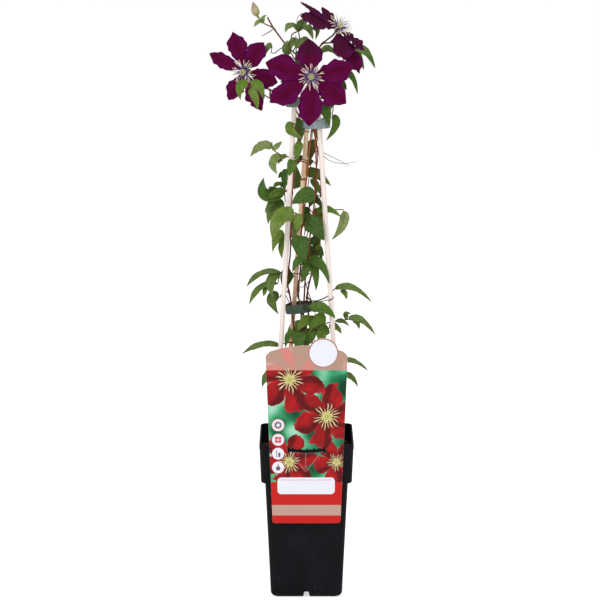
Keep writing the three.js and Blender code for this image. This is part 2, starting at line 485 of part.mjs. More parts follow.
/** Each spray: its vine, the height that it grows at, its stalks and its leaflets. */
const SPRAYS = {
  leaves_crown: { vine: 'vine_back', height: 691,
    stalks: [[[-8, -4, 702], [-10, -6, 724]], [[-10, -6, 724], [-1, -4, 728], [7, 0, 726]],
      [[-10, -6, 724], [-18, -5, 720], [-19, -5, 712], [-14, -7, 705]]],
    leaves: [leaf([-10, -6, 724], [-20, -10, 731], [-27, -14, 723], 12, UPWARD),
      leaf([-10, -6, 724], [-5, -1, 734], [4, 4, 737], 11, FRONT),
      leaf([-6, -5, 727], [2, -12, 727], [8, -15, 714], 12, UPWARD),
      leaf([7, 0, 726], [13, 0, 725], [11, -2, 713], 8, RIGHTISH)] },
  leaves_nape: { vine: 'vine_back', height: 682,
    stalks: [[[-14, -8, 688], [-19, -12, 697]], [[-14, -8, 688], [-13, -11, 703]]],
    leaves: [leaf([-19, -12, 697], [-26, -15, 704], [-23, -13, 713], 11, LEFTISH),
      leaf([-13, -11, 703], [-7, -12, 711], [2, -8, 716], 11, FRONT),
      leaf([-14, -8, 688], [-9, -14, 687], [-5, -16, 677], 12, FRONT)] },
  leaves_gloss: { vine: 'vine_right', height: 692, stalks: [[[18, -3, 696]]],
    leaves: [leaf([18, -3, 696], [28, -6, 701], [42, -5, 690], 14, UPWARD)] },
  leaves_shoulder: { vine: 'vine_right', height: 708,
    stalks: [[[34, 12, 708], [50, 14, 705], [60, 12, 700]]],
    leaves: [leaf([60, 12, 700], [74, 8, 696], [86, 0, 677], 14, [0.5, -0.8, 0.6]),
      leaf([60, 12, 700], [67, 13, 688], [72, 11, 674], 9, RIGHTISH)] },
  leaves_wing: { vine: 'vine_right', height: 657,
    stalks: [[[26, 1, 657], [36, -3, 660], [42, -6, 662]], [[26, 1, 657], [29, -4, 646]]],
    leaves: [leaf([42, -6, 662], [54, -11, 669], [64, -14, 646], 14, [0.5, -0.7, 0.7]),
      leaf([42, -6, 662], [46, -10, 657], [50, -13, 651], 8, FRONT),
      leaf([29, -4, 646], [35, -8, 639], [30, -11, 628], 9, RIGHTISH)] },
  leaves_bib: { vine: 'vine_left', height: 650,
    stalks: [[[-46, -12, 643], [-46, -27, 642], [-60, -38, 652], [-72, -39, 658]]],
    leaves: [leaf([-72, -39, 658], [-83, -44, 657], [-82, -46, 641], 15, FRONT, HEART),
      leaf([-72, -39, 658], [-63, -45, 649], [-62, -44, 630], 12, FRONT, HEART),
      leaf([-71, -39, 658], [-58, -41, 659], [-54, -39, 641], 14, FRONT, HEART)] },
  leaves_collar_right: { vine: 'vine_right', height: 640,
    stalks: [[[24, 0, 638], [22, -12, 636], [15, -20, 633]], [[24, 0, 638], [33, -4, 630], [32, -10, 620]]],
    leaves: [leaf([15, -20, 633], [22, -26, 627], [28, -26, 608], 21, RIGHTISH, HEART),
      leaf([32, -10, 620], [36, -15, 607], [24, -18, 588], 11, RIGHTISH)] },
  leaves_collar_left: { vine: 'vine_left', height: 584,
    stalks: [[[-9, -7, 586], [-9, -14, 598], [-16, -17, 610]],
      [[-9, -7, 586], [-14, 2, 594], [-14, 16, 604], [-13, 18, 614]]],
    leaves: [leaf([-16, -17, 610], [-20, -19, 602], [-4, -21, 590], 13, LEFTISH),
      leaf([-13, 18, 614], [-12, 20, 602], [-9, 19, 589], 15, FRONT),
      leaf([-9, -7, 586], [-7, -13, 577], [-13, -14, 565], 13, FRONT)] },
  leaves_outlook: { vine: 'vine_left', height: 563,
    stalks: [[[-24, 4, 565], [-32, 4, 567], [-43, 4, 574]], [[-43, 4, 574], [-44, 5, 584]]],
    leaves: [leaf([-43, 4, 574], [-57, 2, 580], [-70, 0, 565], 19, UPWARD),
      leaf([-43, 4, 574], [-37, 3, 579], [-31, 1, 585], 7, FRONT, LANCE),
      leaf([-24, 4, 565], [-32, 5, 563], [-36, 2, 556], 11, UPWARD),
      leaf([-32, 4, 567], [-42, 0, 558], [-37, -4, 544], 13, LEFTISH)] },
  leaves_locket: { vine: 'vine_centre', height: 557, stalks: [[[-4, -16, 561], [-16, -19, 564]]],
    leaves: [leaf([-16, -19, 564], [-20, -22, 556], [-22, -24, 544], 15, FRONT, HEART)] },
  leaves_elbow: { vine: 'vine_left', height: 519,
    stalks: [[[-28, 4, 521]], [[-28, 4, 521], [-22, 12, 523], [-15, 14, 525]],
      [[-28, 4, 521], [-25, 8, 532]], [[-28, 4, 521], [-27, 9, 506]]],
    leaves: [leaf([-28, 4, 521], [-52, -3, 519], [-54, -9, 540], 21, [-0.2, -1, 0.5]),
      leaf([-28, 4, 521], [-40, 6, 532], [-46, 3, 525], 12, UPWARD),
      leaf([-28, 4, 521], [-39, -2, 519], [-52, -8, 512], 12, FRONT),
      leaf([-25, 8, 532], [-30, 9, 541], [-36, 8, 537], 11, FRONT),
      leaf([-15, 14, 525], [-14, 14, 539], [-13, 13, 552], 15, FRONT),
      leaf([-28, 5, 518], [-42, 1, 509], [-53, -5, 495], 11, UPWARD),
      leaf([-27, 9, 506], [-44, 8, 499], [-49, 5, 478], 20, LEFTISH)] },
  leaves_apron: { vine: 'vine_right', height: 522, stalks: [[[13, -9, 522], [12, -18, 519]]],
    leaves: [leaf([12, -18, 519], [-3, -25, 526], [-19, -25, 509], 24, [0.1, -1, 0.5], HEART)] },
  leaves_curtain: { vine: 'vine_back', height: 548, stalks: [[[10, 16, 548], [3, 17, 546]]],
    leaves: [leaf([3, 17, 546], [16, 18, 541], [32, 13, 526], 19, FRONT),
      leaf([10, 16, 548], [13, 21, 532], [20, 19, 518], 15, FRONT)] },
  leaves_lantern: { vine: 'vine_left', height: 494,
    stalks: [[[-13, -10, 495], [-14, -22, 495]]],
    leaves: [leaf([-14, -22, 495], [-35, -33, 498], [-43, -34, 462], 25, [-0.3, -1, 0.6], HEART),
      leaf([-14, -22, 495], [-13, -27, 485], [-14, -28, 472], 14, FRONT, HEART)] },
  leaves_heart: { vine: 'vine_centre', height: 482,
    stalks: [[[-3, -9, 483], [1, -14, 484]], [[-3, -9, 483], [-2, -19, 473], [-3, -23, 469]]],
    leaves: [leaf([1, -14, 484], [12, -20, 478], [23, -23, 461], 24, FRONT, HEART),
      leaf([-3, -23, 469], [-5, -31, 456], [1, -34, 434], 24, FRONT, HEART)] },
  leaves_handkerchief: { vine: 'vine_right', height: 491,
    stalks: [[[18, 2, 494], [32, 4, 497], [47, 8, 497]]],
    leaves: [leaf([12, 1, 493], [27, 2, 498], [44, 3, 488], 11, [0, -1, 0.7]),
      leaf([47, 8, 497], [50, 3, 480], [33, 1, 456], 14, [0.3, 1, -0.3])] },
  leaves_cuff: { vine: 'vine_left', height: 463, stalks: [[[-28, 4, 466]]],
    leaves: [leaf([-28, 4, 466], [-37, 0, 462], [-43, -2, 444], 14, LEFTISH),
      leaf([-28, 4, 466], [-32, 6, 450], [-31, 5, 434], 9, LEFTISH)] },
  leaves_tuft: { vine: 'vine_back', height: 447, stalks: [[[9, 15, 448]]],
    leaves: [leaf([9, 15, 448], [14, 16, 456], [19, 15, 462], 11, FRONT),
      leaf([9, 15, 448], [16, 17, 444], [22, 15, 436], 11, FRONT),
      leaf([9, 15, 448], [10, 17, 437], [17, 15, 424], 12, FRONT)] },
  leaves_waist: { vine: 'vine_right', height: 433,
    stalks: [[[1, -8, 434]]],
    leaves: [leaf([1, -8, 434], [17, -15, 430], [29, -17, 405], 15, RIGHTISH),
      leaf([1, -8, 434], [10, -13, 421], [12, -15, 396], 14, RIGHTISH),
      leaf([1, -8, 434], [-10, -13, 434], [-18, -15, 420], 13, LEFTISH),
      leaf([1, -8, 434], [-2, -9, 419], [-7, -11, 405], 11, FRONT)] },
  leaves_drift: { vine: 'vine_left', height: 416,
    stalks: [[[-33, 2, 417]], [[-33, 2, 417], [-37, 4, 402]]],
    leaves: [leaf([-33, 2, 417], [-58, -4, 418], [-77, -12, 400], 12, UPWARD, LANCE),
      leaf([-37, 4, 402], [-56, 0, 401], [-73, -7, 376], 12, UPWARD, LANCE),
      leaf([-47, 2, 404], [-52, -2, 396], [-54, -5, 386], 9, LEFTISH),
      leaf([-33, 2, 417], [-45, -5, 406], [-42, -9, 387], 15, LEFTISH)] },
  leaves_pocket: { vine: 'vine_left', height: 392, stalks: [[[-30, 7, 391], [-34, 11, 383]],
      [[-30, 7, 391], [-26, 14, 408], [-22, 15, 422]]],
    leaves: [leaf([-34, 11, 383], [-44, 7, 381], [-36, 4, 362], 16, LEFTISH),
      leaf([-22, 15, 422], [-27, 16, 410], [-31, 14, 395], 14, LEFTISH)] },
  leaves_beckon: { vine: 'vine_back', height: 384, stalks: [[[9, 12, 383], [28, 4, 383], [35, 2, 392]]],
    leaves: [leaf([35, 2, 392], [54, 0, 402], [84, -8, 379], 16, [0.1, -0.7, 1]),
      leaf([42, 2, 400], [49, -3, 392], [52, -4, 381], 9, RIGHTISH)] },
  leaves_bridge: { vine: 'vine_centre', height: 394,
    stalks: [[[-10, -9, 392], [-11, -18, 383], [-2, -20, 376]]],
    leaves: [leaf([-2, -20, 376], [23, -25, 384], [38, -25, 361], 22, [0.1, -1, 0.6])] },
  leaves_skirt: { vine: 'vine_right', height: 351,
    stalks: [[[3, -8, 354], [8, -11, 358], [25, -9, 361]], [[3, -8, 354], [18, -3, 347], [29, -1, 345]]],
    leaves: [leaf([8, -11, 358], [-3, -16, 356], [-11, -18, 345], 14, FRONT),
      leaf([25, -9, 361], [14, -17, 358], [4, -20, 346], 16, FRONT),
      leaf([29, -1, 345], [20, -9, 341], [15, -14, 331], 15, FRONT),
      leaf([29, -1, 345], [37, 0, 346], [45, -2, 338], 13, UPWARD)] },
  leaves_sleeve: { vine: 'vine_back', height: 346,
    stalks: [[[20, 10, 350], [34, 5, 355], [53, 6, 354]]],
    leaves: [leaf([34, 5, 355], [46, 2, 355], [56, -1, 349], 10, UPWARD),
      leaf([53, 6, 354], [50, 5, 365], [58, 0, 363], 10, RIGHTISH),
      leaf([53, 6, 354], [66, 4, 359], [89, -4, 336], 15, [0.2, -0.7, 1]),
      leaf([58, 6, 359], [66, 1, 351], [69, -2, 343], 9, RIGHTISH)] },
  leaves_tassel: { vine: 'vine_centre', height: 338,
    stalks: [[[-9, -12, 343], [-16, -12, 344]], [[-9, -12, 343], [2, -10, 346], [8, -8, 345]]],
    leaves: [leaf([-9, -12, 343], [-10, -21, 335], [-10, -23, 322], 20, FRONT, HEART),
      leaf([-16, -12, 344], [-23, -12, 337], [-27, -11, 321], 10, LEFTISH),
      leaf([8, -8, 345], [5, -12, 335], [-1, -14, 323], 12, FRONT)] },
  leaves_streamer: { vine: 'vine_left', height: 326, stalks: [[[-24, 0, 326], [-33, 1, 323]]],
    leaves: [leaf([-33, 1, 323], [-57, -5, 330], [-82, -12, 313], 16, UPWARD, LANCE)] },
  leaves_low_right: { vine: 'vine_back', height: 297, stalks: [[[26, 12, 298], [44, 9, 302]],
    [[26, 12, 298], [46, 10, 288]]],
    leaves: [leaf([44, 9, 302], [60, 4, 303], [79, -4, 288], 13, UPWARD),
      leaf([46, 10, 288], [58, 5, 283], [67, 0, 267], 13, RIGHTISH)] },
  leaves_low_left: { vine: 'vine_left', height: 283, stalks: [[[-26, 3, 284], [-39, 7, 287]]],
    leaves: [leaf([-39, 7, 287], [-50, 3, 282], [-57, -2, 268], 13, LEFTISH)] },
  leaves_rear_high: { vine: 'vine_back', height: 596, stalks: [[[8, 19, 598], [4, 30, 602]]],
    leaves: [leaf([4, 30, 602], [12, 38, 599], [14, 40, 582], 18, REAR, HEART),
      leaf([4, 30, 602], [-6, 38, 597], [-8, 38, 578], 16, REAR, HEART)] },
  leaves_rear_middle: { vine: 'vine_back', height: 470, stalks: [[[10, 22, 474], [2, 30, 477]]],
    leaves: [leaf([2, 30, 477], [-12, 40, 474], [-16, 44, 450], 22, REAR, HEART),
      leaf([2, 30, 477], [12, 42, 470], [12, 44, 446], 20, REAR, HEART),
      leaf([2, 30, 477], [-2, 40, 486], [-4, 50, 476], 15, UPWARD)] },
  leaves_rear_low: { vine: 'vine_back', height: 330, stalks: [[[6, 22, 334], [2, 31, 337]]],
    leaves: [leaf([2, 31, 337], [-14, 40, 336], [-24, 44, 316], 20, REAR, HEART),
      leaf([2, 31, 337], [16, 42, 334], [22, 46, 312], 20, REAR, HEART),
      leaf([2, 31, 337], [0, 42, 324], [-1, 46, 306], 18, REAR, HEART)] },
};

const STALK_START = 1.2;             // the first straight stretch of a stalk

/** A stalk that starts just off a vine's skin, square to it, and runs on through the given places. */
function stalkFrom({ place, run }, places) {
  const away = point(places[0]).sub(place);
  away.addScaledVector(run, -away.dot(run)).normalize();
  const root = place.clone().addScaledVector(away, STEM_RADIUS + GAP);
  const clear = root.clone().addScaledVector(away, STALK_START);
  return bar([root.toArray(), clear.toArray(), ...places], PETIOLE_RADIUS, 3, places.length + 1);
}

/** A spray: its stalks, its leaflets, and a small knuckle where several leaflets start together. */
function makeSpray({ vine, height, stalks, leaves }) {
  const [main, ...branches] = stalks;
  const starts = leaves.map(({ base }) => base.join());
  const shared = (start) => starts.indexOf(start) !== starts.lastIndexOf(start);
  const forks = leaves.filter((_, i) => shared(starts[i])).map(({ base }) => base);
  const joints = new Map([...forks, ...branches.map(([first]) => first)].map((at) => [at.join(), at]));
  return joined([
    ...[...joints.values()].map((at) => solid(new THREE.OctahedronGeometry(JOINT_RADIUS).translate(...at))),
    stalkFrom(onVine(vine, height), main),
    ...branches.map((places) => bar(places, PETIOLE_RADIUS, 3, places.length)),
    ...leaves.map((row, i) => blade({ ...row, root: shared(starts[i]) ? 0 : BLADE_ROOT })),
  ]);
}

// ---------- flowers ----------

const STAMEN_COUNT = 24;
const STAMEN_REACH = 17;
const COLLAR_HEIGHT = 1.8;
const PISTIL_HEIGHT = 11;

/** A turned body standing on a flower's centre. */
function turnedOn({ centre, face }, profile, sides) {
  const turned = new THREE.LatheGeometry(profile.map((p) => new THREE.Vector2(...p)), sides);
  const lift = new THREE.Quaternion()
    .setFromUnitVectors(new THREE.Vector3(0, 1, 0), point(face).normalize());
  turned.applyQuaternion(lift).translate(...centre);
  return solid(turned);
}

function makeTepals(flower) {
  const out = point(flower.face).normalize();
  const centre = point(flower.centre);
  const blades = flower.tepals.map(({ tip, width, face = flower.face }, i) => {
    const base = centre.clone().lerp(point(tip), 0.03).addScaledVector(out, i % 2 ? 0.3 : -1);
    const crest = centre.clone().lerp(point(tip), 0.52).addScaledVector(out, i % 2 ? 2 : 0);
    return blade({ base: base.toArray(), crest: crest.toArray(), tip, face, width, form: TEPAL,
      fold: 0.1, wave: 1.3 });
  });
  const cup = turnedOn(flower, [[0, -CUP_DEPTH], [2, -CUP_DEPTH], [CUP_RADIUS, 0],
    [CUP_RADIUS, CUP_FACE], [0, CUP_FACE]], 10);
  return joined([cup, ...blades]);
}

/** A collar with a tapering filament drawn out of each of its outer faces. */
function makeStamens(flower) {
  const out = point(flower.face).normalize();
  const right = new THREE.Vector3(0, 0, 1).cross(out).normalize();
  const up = out.clone().cross(right);
  const foot = CUP_FACE + 2 * GAP;
  const place = (turn, radius, height) => point(flower.centre).addScaledVector(out, height)
    .addScaledVector(right, radius * Math.cos(turn)).addScaledVector(up, radius * Math.sin(turn));
  const sector = (2 * Math.PI) / STAMEN_COUNT;
  const corners = [];                // the collar: inner foot, inner top, outer top, outer foot
  const knees = [];                  // four corners round the middle of each filament, then its tip
  for (let i = 0; i < STAMEN_COUNT; i += 1) {
    const edge = sector * (i - 0.5);
    corners.push(place(edge, 2.2, foot), place(edge, 2.4, foot + COLLAR_HEIGHT));
    corners.push(place(edge, 3.6, foot + COLLAR_HEIGHT), place(edge, 3.8, foot));
    const reach = STAMEN_REACH * (i % 3 === 0 ? 0.78 : 1);
    const lift = i % 2 ? 6 : 9;
    const half = FILAMENT_WIDTH / reach;
    for (const [side, rise] of [[1, 1], [-1, 1], [-1, -1], [1, -1]]) {
      knees.push(place(sector * i + side * half, reach / 2, lift + (rise * FILAMENT_WIDTH) / 2));
    }
    knees.push(place(sector * i, reach, lift + 1.5));
  }
  const firstKnee = corners.length;
  const faces = [];
  const quad = (a, b, c, d) => faces.push(a, b, c, a, c, d);
  for (let i = 0; i < STAMEN_COUNT; i += 1) {
    const near = 4 * i;
    const far = 4 * ((i + 1) % STAMEN_COUNT);
    for (const [a, b] of [[0, 1], [1, 2], [3, 0]]) quad(near + a, near + b, far + b, far + a);
    const root = [far + 2, near + 2, near + 3, far + 3];
    const knee = firstKnee + 5 * i;
    for (let k = 0; k < 4; k += 1) {
      const next = (k + 1) % 4;
      quad(root[k], root[next], knee + next, knee + k);
      faces.push(knee + k, knee + next, knee + 4);
    }
  }
  const geometry = new THREE.BufferGeometry();
  const positions = [...corners, ...knees].flatMap((p) => [p.x, p.y, p.z]);
  geometry.setAttribute('position', new THREE.Float32BufferAttribute(positions, 3));
  geometry.setIndex(faces);
  return solid(geometry);
}

function makePistil(flower) {
  const foot = CUP_FACE + GAP;
  return turnedOn(flower, [[0, foot], [1.7, foot], [1.7, foot + 3], [2.8, foot + 6],
    [2.4, foot + PISTIL_HEIGHT - 2], [0, foot + PISTIL_HEIGHT]], 8);
}

// ---------- bud and tendrils ----------

const BUD_PROFILE = [[0, -1], [3.6, 1.5], [5.2, 6], [4.4, 11], [2, 15], [0, 17.5]];

function makeBud() {
  const body = turnedOn({ centre: [-62, -4, 743], face: [-0.3, -0.1, 0.95] }, BUD_PROFILE, 8);
  const stalk = stalkFrom(onVine('vine_back', 728), [[-46, -4, 730], [-54, -4, 734], [-62, -4, 744]]);
  const small = leaf([-54, -4, 734], [-60, -5, 735], [-66, -7, 729], 8, UPWARD);
  const upper = leaf([-54, -4, 734], [-54, -5, 740], [-50, -7, 744], 6, LEFTISH, LANCE);
  return joined([body, stalk, blade(small), blade(upper)]);
}

function makeTendrils() {
  const { place } = onVine('vine_right', 572);
  const root = [place.x + STEM_RADIUS + GAP, place.y, place.z];
  const fork = [17, 1, 572];
  return joined([
    bar([root, fork, [36, -6, 564], [55, -13, 555]], TENDRIL_RADIUS, 4, 5),
    bar([fork, [27, -2, 562], [46, -9, 558], [63, -13, 561]], TENDRIL_RADIUS, 4, 5),
  ]);
}

// ---------- assembly ----------

/** The plain holes that the canes and vines stand in. */
function soilHoles() {
  const above = SOIL_TOP + 12;
  const canes = Object.values(SUPPORTS).map((support) =>
    along(support, SUPPORT_FOOT - GAP, above, rod(support.radius + GAP), 12));
  const vines = Object.values(VINES).map(([[x, y, z]]) =>
    bar([[x, y, z - VINE_FOOT - GAP], [x, y, above]], STEM_RADIUS + 1.5 * GAP, 6, 1));
  return [...canes, ...vines];
}

piece('pot', makePot(), POT_BLACK);
piece('soil', makeSoil(soilHoles()), COMPOST);
piece('label', makeLabel(), CARD_TAN);

for (const name of ['dowel_left', 'dowel_right']) {
  const support = SUPPORTS[name];
  piece(name, along(support, SUPPORT_FOOT, support.head[2], rod(support.radius), 12), PALE_WOOD);
}
piece('cane', along(SUPPORTS.cane, SUPPORT_FOOT, SUPPORTS.cane.head[2], bambooProfile, 12), BAMBOO);

for (const [name, ring] of Object.entries(RINGS)) piece(name, clipRing(ring), RING_GREEN);
for (const [name, height] of Object.entries(TIES)) piece(name, wireTie(height), WIRE);
for (const name of Object.keys(VINES)) piece(name, makeVine(name), VINE_BROWN);
for (const [name, spray] of Object.entries(SPRAYS)) piece(name, makeSpray(spray), LEAF_GREEN);

for (const [place, flower] of Object.entries(FLOWERS)) {
  piece(`tepals_${place}`, makeTepals(flower), TEPAL_WINE);
  piece(`stamens_${place}`, makeStamens(flower), ANTHER_CREAM);
  piece(`pistil_${place}`, makePistil(flower), PISTIL_YELLOW);
}
piece('bud', makeBud(), BUD_CREAM);
piece('tendrils', makeTendrils(), WIRE);

export default plant;
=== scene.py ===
"""A young clematis in flower, tied up canes in a square nursery pot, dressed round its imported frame.

Every piece is in metres in the frame's own axes: +Z up, -Y the plant's front, the origin under the pot.
"""
import logging
import math
from collections.abc import Callable, Iterable, Iterator, Sequence
from contextlib import contextmanager
from dataclasses import dataclass, field, replace
from enum import Enum
from functools import cache
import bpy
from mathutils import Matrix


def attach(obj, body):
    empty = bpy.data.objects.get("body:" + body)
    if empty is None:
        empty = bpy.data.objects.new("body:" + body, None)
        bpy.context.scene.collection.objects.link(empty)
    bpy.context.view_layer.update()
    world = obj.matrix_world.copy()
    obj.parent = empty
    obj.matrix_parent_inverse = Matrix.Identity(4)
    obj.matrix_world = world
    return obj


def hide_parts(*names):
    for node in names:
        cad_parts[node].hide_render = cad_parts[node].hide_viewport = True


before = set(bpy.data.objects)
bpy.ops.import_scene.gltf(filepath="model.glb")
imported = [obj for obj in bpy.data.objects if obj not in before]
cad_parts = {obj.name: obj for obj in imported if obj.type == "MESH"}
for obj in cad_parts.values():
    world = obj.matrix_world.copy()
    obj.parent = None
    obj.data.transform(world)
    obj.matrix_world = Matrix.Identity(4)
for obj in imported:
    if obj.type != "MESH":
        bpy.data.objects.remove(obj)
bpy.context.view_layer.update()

from types import SimpleNamespace

import bpy
import numpy as np
from mathutils import Vector

LOG = logging.getLogger("clematis")
MM = 0.001

Place = tuple[float, float, float]
Pair = tuple[float, float]
Colour = tuple[int, int, int]
Rows = np.ndarray
Thing = bpy.types.Object
Material = bpy.types.Material
Socket = bpy.types.NodeSocket


# ---------- small tools ----------


def metres(place: Sequence[float]) -> Vector:
    """A place given in millimetres, as a vector in metres."""
    return Vector(place) * MM


def unit(way: Rows) -> Rows:
    """A direction, or each of several, one long."""
    return way / np.linalg.norm(way, axis=-1, keepdims=True)


def deselect() -> None:
    """Leaves edit mode and selects nothing."""
    if bpy.context.object and bpy.context.object.mode != "OBJECT":
        bpy.ops.object.mode_set(mode="OBJECT")
    bpy.ops.object.select_all(action="DESELECT")


def pick(*objects: Thing) -> Thing:
    """Selects just these objects and makes the first one active.

    Args:
        objects: what is selected.

    Returns:
        The first one.
    """
    deselect()
    for obj in objects:
        obj.select_set(True)
    bpy.context.view_layer.objects.active = objects[0]
    return objects[0]


@contextmanager
def editing(obj: Thing) -> Iterator[None]:
    """Opens an object in edit mode with all of it selected, and closes it again.

    Args:
        obj: the object.

    Yields:
        Nothing, while it is open.
    """
    pick(obj)
    bpy.ops.object.mode_set(mode="EDIT")
    bpy.ops.mesh.select_all(action="SELECT")
    yield
    bpy.ops.object.mode_set(mode="OBJECT")


def settle(obj: Thing) -> Thing:
    """Moves an object's place, turn and scale into its mesh.

    Args:
        obj: the object.

    Returns:
        The object.
    """
    pick(obj)
    bpy.ops.object.transform_apply(location=True, rotation=True, scale=True)
    return obj


def added(name: str) -> Thing:
    """Names the object that was just added and settles it.

    Args:
        name: its name.

    Returns:
        The object.
    """
    obj = bpy.context.object
    obj.name = obj.data.name = name
    return settle(obj)


def joined(parts: Sequence[Thing], name: str) -> Thing:
    """Joins objects into one.

    Args:
        parts: the objects.
        name: the whole's name.

    Returns:
        The whole.
    """
    whole = pick(*parts)
    if len(parts) > 1:
        bpy.ops.object.join()
    whole.name = whole.data.name = name
    return whole


def apply_modifier(obj: Thing, kind: str, **settings: object) -> None:
    """Adds a modifier, sets its values and applies it.

    Args:
        obj: the object.
        kind: the modifier.
        settings: its values by name.
    """
    pick(obj)
    modifier = obj.modifiers.new(kind.title(), kind)
    for key, value in settings.items():
        setattr(modifier, key, value)
    bpy.ops.object.modifier_apply(modifier=modifier.name)


def smooth(obj: Thing, degrees: float = 40) -> Thing:
    """Shades an object smooth, but for edges sharper than an angle.

    Args:
        obj: the object.
        degrees: the angle.

    Returns:
        The object.
    """
    pick(obj)
    bpy.ops.object.shade_smooth_by_angle(angle=math.radians(degrees))
    return obj


def outward(obj: Thing) -> Thing:
    """Merges doubles and turns all the faces outwards.

    Args:
        obj: the object.

    Returns:
        The object.
    """
    with editing(obj):
        bpy.ops.mesh.remove_doubles(threshold=1e-6)
        bpy.ops.mesh.normals_make_consistent(inside=False)
    return obj


def dress(obj: Thing, *materials: Material) -> Thing:
    """Puts materials in an object's slots, in place of what is there.

    Args:
        obj: the object.
        materials: one for each slot.

    Returns:
        The object.
    """
    obj.data.materials.clear()
    for material in materials:
        obj.data.materials.append(material)
    return obj


def place_of(obj: Thing) -> Rows:
    """Reads where an object's points are.

    Args:
        obj: the object.

    Returns:
        Their places, one row each.
    """
    places = np.empty(3 * len(obj.data.vertices), np.float32)
    obj.data.vertices.foreach_get("co", places)
    return places.reshape(-1, 3).astype(float)


def move_points(obj: Thing, places: Rows) -> None:
    """Gives an object's points new places."""
    obj.data.vertices.foreach_set("co", places.astype(np.float32).ravel())
    obj.data.update()


def paint_points(obj: Thing, name: str, values: Rows) -> None:
    """Keeps a value for each point of an object, for its material to read."""
    layer = obj.data.attributes.get(name) or obj.data.attributes.new(name, "FLOAT", "POINT")
    layer.data.foreach_set("value", np.asarray(values, np.float32))


def finish_piece(obj: Thing, slot: str, *nodes: str) -> None:
    """Hands a finished piece to the frame and reports it.

    Args:
        obj: the piece, with its place in its mesh.
        slot: not used.
        nodes: the frame's nodes that it stands for.
    """
    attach(obj, "root")
    if nodes:
        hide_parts(*nodes)
    LOG.info("%s: %d faces, for %s", obj.name, len(obj.data.polygons), ", ".join(nodes) or "itself")


# ---------- lines ----------


def through(places: Sequence[Sequence[float]], count: int) -> Rows:
    """Draws a smooth line through places.

    Args:
        places: two or more.
        count: how many points the line gets.

    Returns:
        The points, evenly spaced.
    """
    knots = np.array(places, float)
    knots = np.vstack([2 * knots[0] - knots[1], knots, 2 * knots[-1] - knots[-2]])
    fine = []
    for p0, p1, p2, p3 in zip(knots, knots[1:], knots[2:], knots[3:]):
        d0, d1, d2 = (max(1e-4, np.linalg.norm(b - a)) ** 0.5 for a, b in ((p0, p1), (p1, p2), (p2, p3)))
        leave = d1 * ((p1 - p0) / d0 - (p2 - p0) / (d0 + d1) + (p2 - p1) / d1)
        reach = d1 * ((p2 - p1) / d1 - (p3 - p1) / (d1 + d2) + (p3 - p2) / d2)
        for t in np.linspace(0, 1, 24, endpoint=False):
            fine.append(p1 + leave * t + (3 * (p2 - p1) - 2 * leave - reach) * t**2
                        + (2 * (p1 - p2) + leave + reach) * t**3)
    fine = np.array(fine + [knots[-2]])
    run = np.concatenate([[0], np.cumsum(np.linalg.norm(np.diff(fine, axis=0), axis=1))])
    at = np.linspace(0, run[-1], count)
    return np.column_stack([np.interp(at, run, fine[:, k]) for k in range(3)])


def new_curve() -> bpy.types.Curve:
    """Adds an empty curve object.

    Returns:
        Its curve.
    """
    deselect()
    bpy.ops.curve.primitive_nurbs_path_add()
    curve = bpy.context.object.data
    curve.splines.clear()
    return curve


def made_mesh(name: str) -> Thing:
    """Turns the active curve object into a mesh object.

    Args:
        name: its name.

    Returns:
        The mesh object.
    """
    pick(bpy.context.object)
    bpy.ops.object.convert(target="MESH")
    return added(name)


@dataclass
class Tubes:
    """Thin round lines that become one mesh: their radius in millimetres, and how finely it is rounded."""

    radius: float
    sides: int = 2
    lines: list[tuple[Rows, Rows]] = field(default_factory=list)

    def add(self, line: Rows, taper: Sequence[float] = (1.0, 1.0)) -> None:
        """Adds a line whose radius follows the taper's shares from end to end."""
        shares = np.interp(np.linspace(0, 1, len(line)), np.linspace(0, 1, len(taper)), taper)
        self.lines.append((line, shares))

    def mesh(self, name: str) -> Thing:
        """Builds all the lines as one mesh object.

        Args:
            name: its name.

        Returns:
            The mesh, shaded smooth.
        """
        curve = new_curve()
        curve.bevel_depth = self.radius * MM
        curve.bevel_resolution = self.sides
        curve.use_fill_caps = True
        for line, shares in self.lines:
            spline = curve.splines.new("POLY")
            spline.points.add(len(line) - 1)
            flat = np.column_stack([line * MM, np.ones(len(line))])
            spline.points.foreach_set("co", flat.astype(np.float32).ravel())
            spline.points.foreach_set("radius", shares.astype(np.float32))
        obj = made_mesh(name)
        for polygon in obj.data.polygons:
            polygon.use_smooth = True
        return obj


def turned(name: str, profile: Sequence[Pair], sides: int = 48) -> Thing:
    """Turns a profile round the Z axis, as on a lathe.

    Args:
        name: the new object's name.
        profile: radius and height of each ring in millimetres, from the lowest up.
        sides: how many sides each ring has.

    Returns:
        A closed mesh object at the origin.
    """
    deselect()
    (radius, height), *rest = profile
    bpy.ops.mesh.primitive_circle_add(vertices=sides, radius=radius * MM, fill_type="NGON",
                                      location=(0, 0, height * MM))
    obj = added(name)
    draw_up(obj, radius, height, [(max(wide, 0.02), high) for wide, high in rest])
    return outward(obj)


def draw_up(obj: Thing, width: float, height: float, rings: Iterable[Pair]) -> None:
    """Draws the one face of an object up or down through rings.

    Args:
        obj: the object.
        width: the width of its face, in millimetres.
        height: the face's height.
        rings: the width and height of each ring that follows.
    """
    with editing(obj):
        for wide, high in rings:
            bpy.ops.mesh.extrude_region_move(TRANSFORM_OT_translate={"value": (0, 0, (high - height) * MM)})
            share = wide / width
            bpy.ops.transform.resize(value=(share, share, 1), center_override=(0, 0, high * MM))
            width, height = wide, high


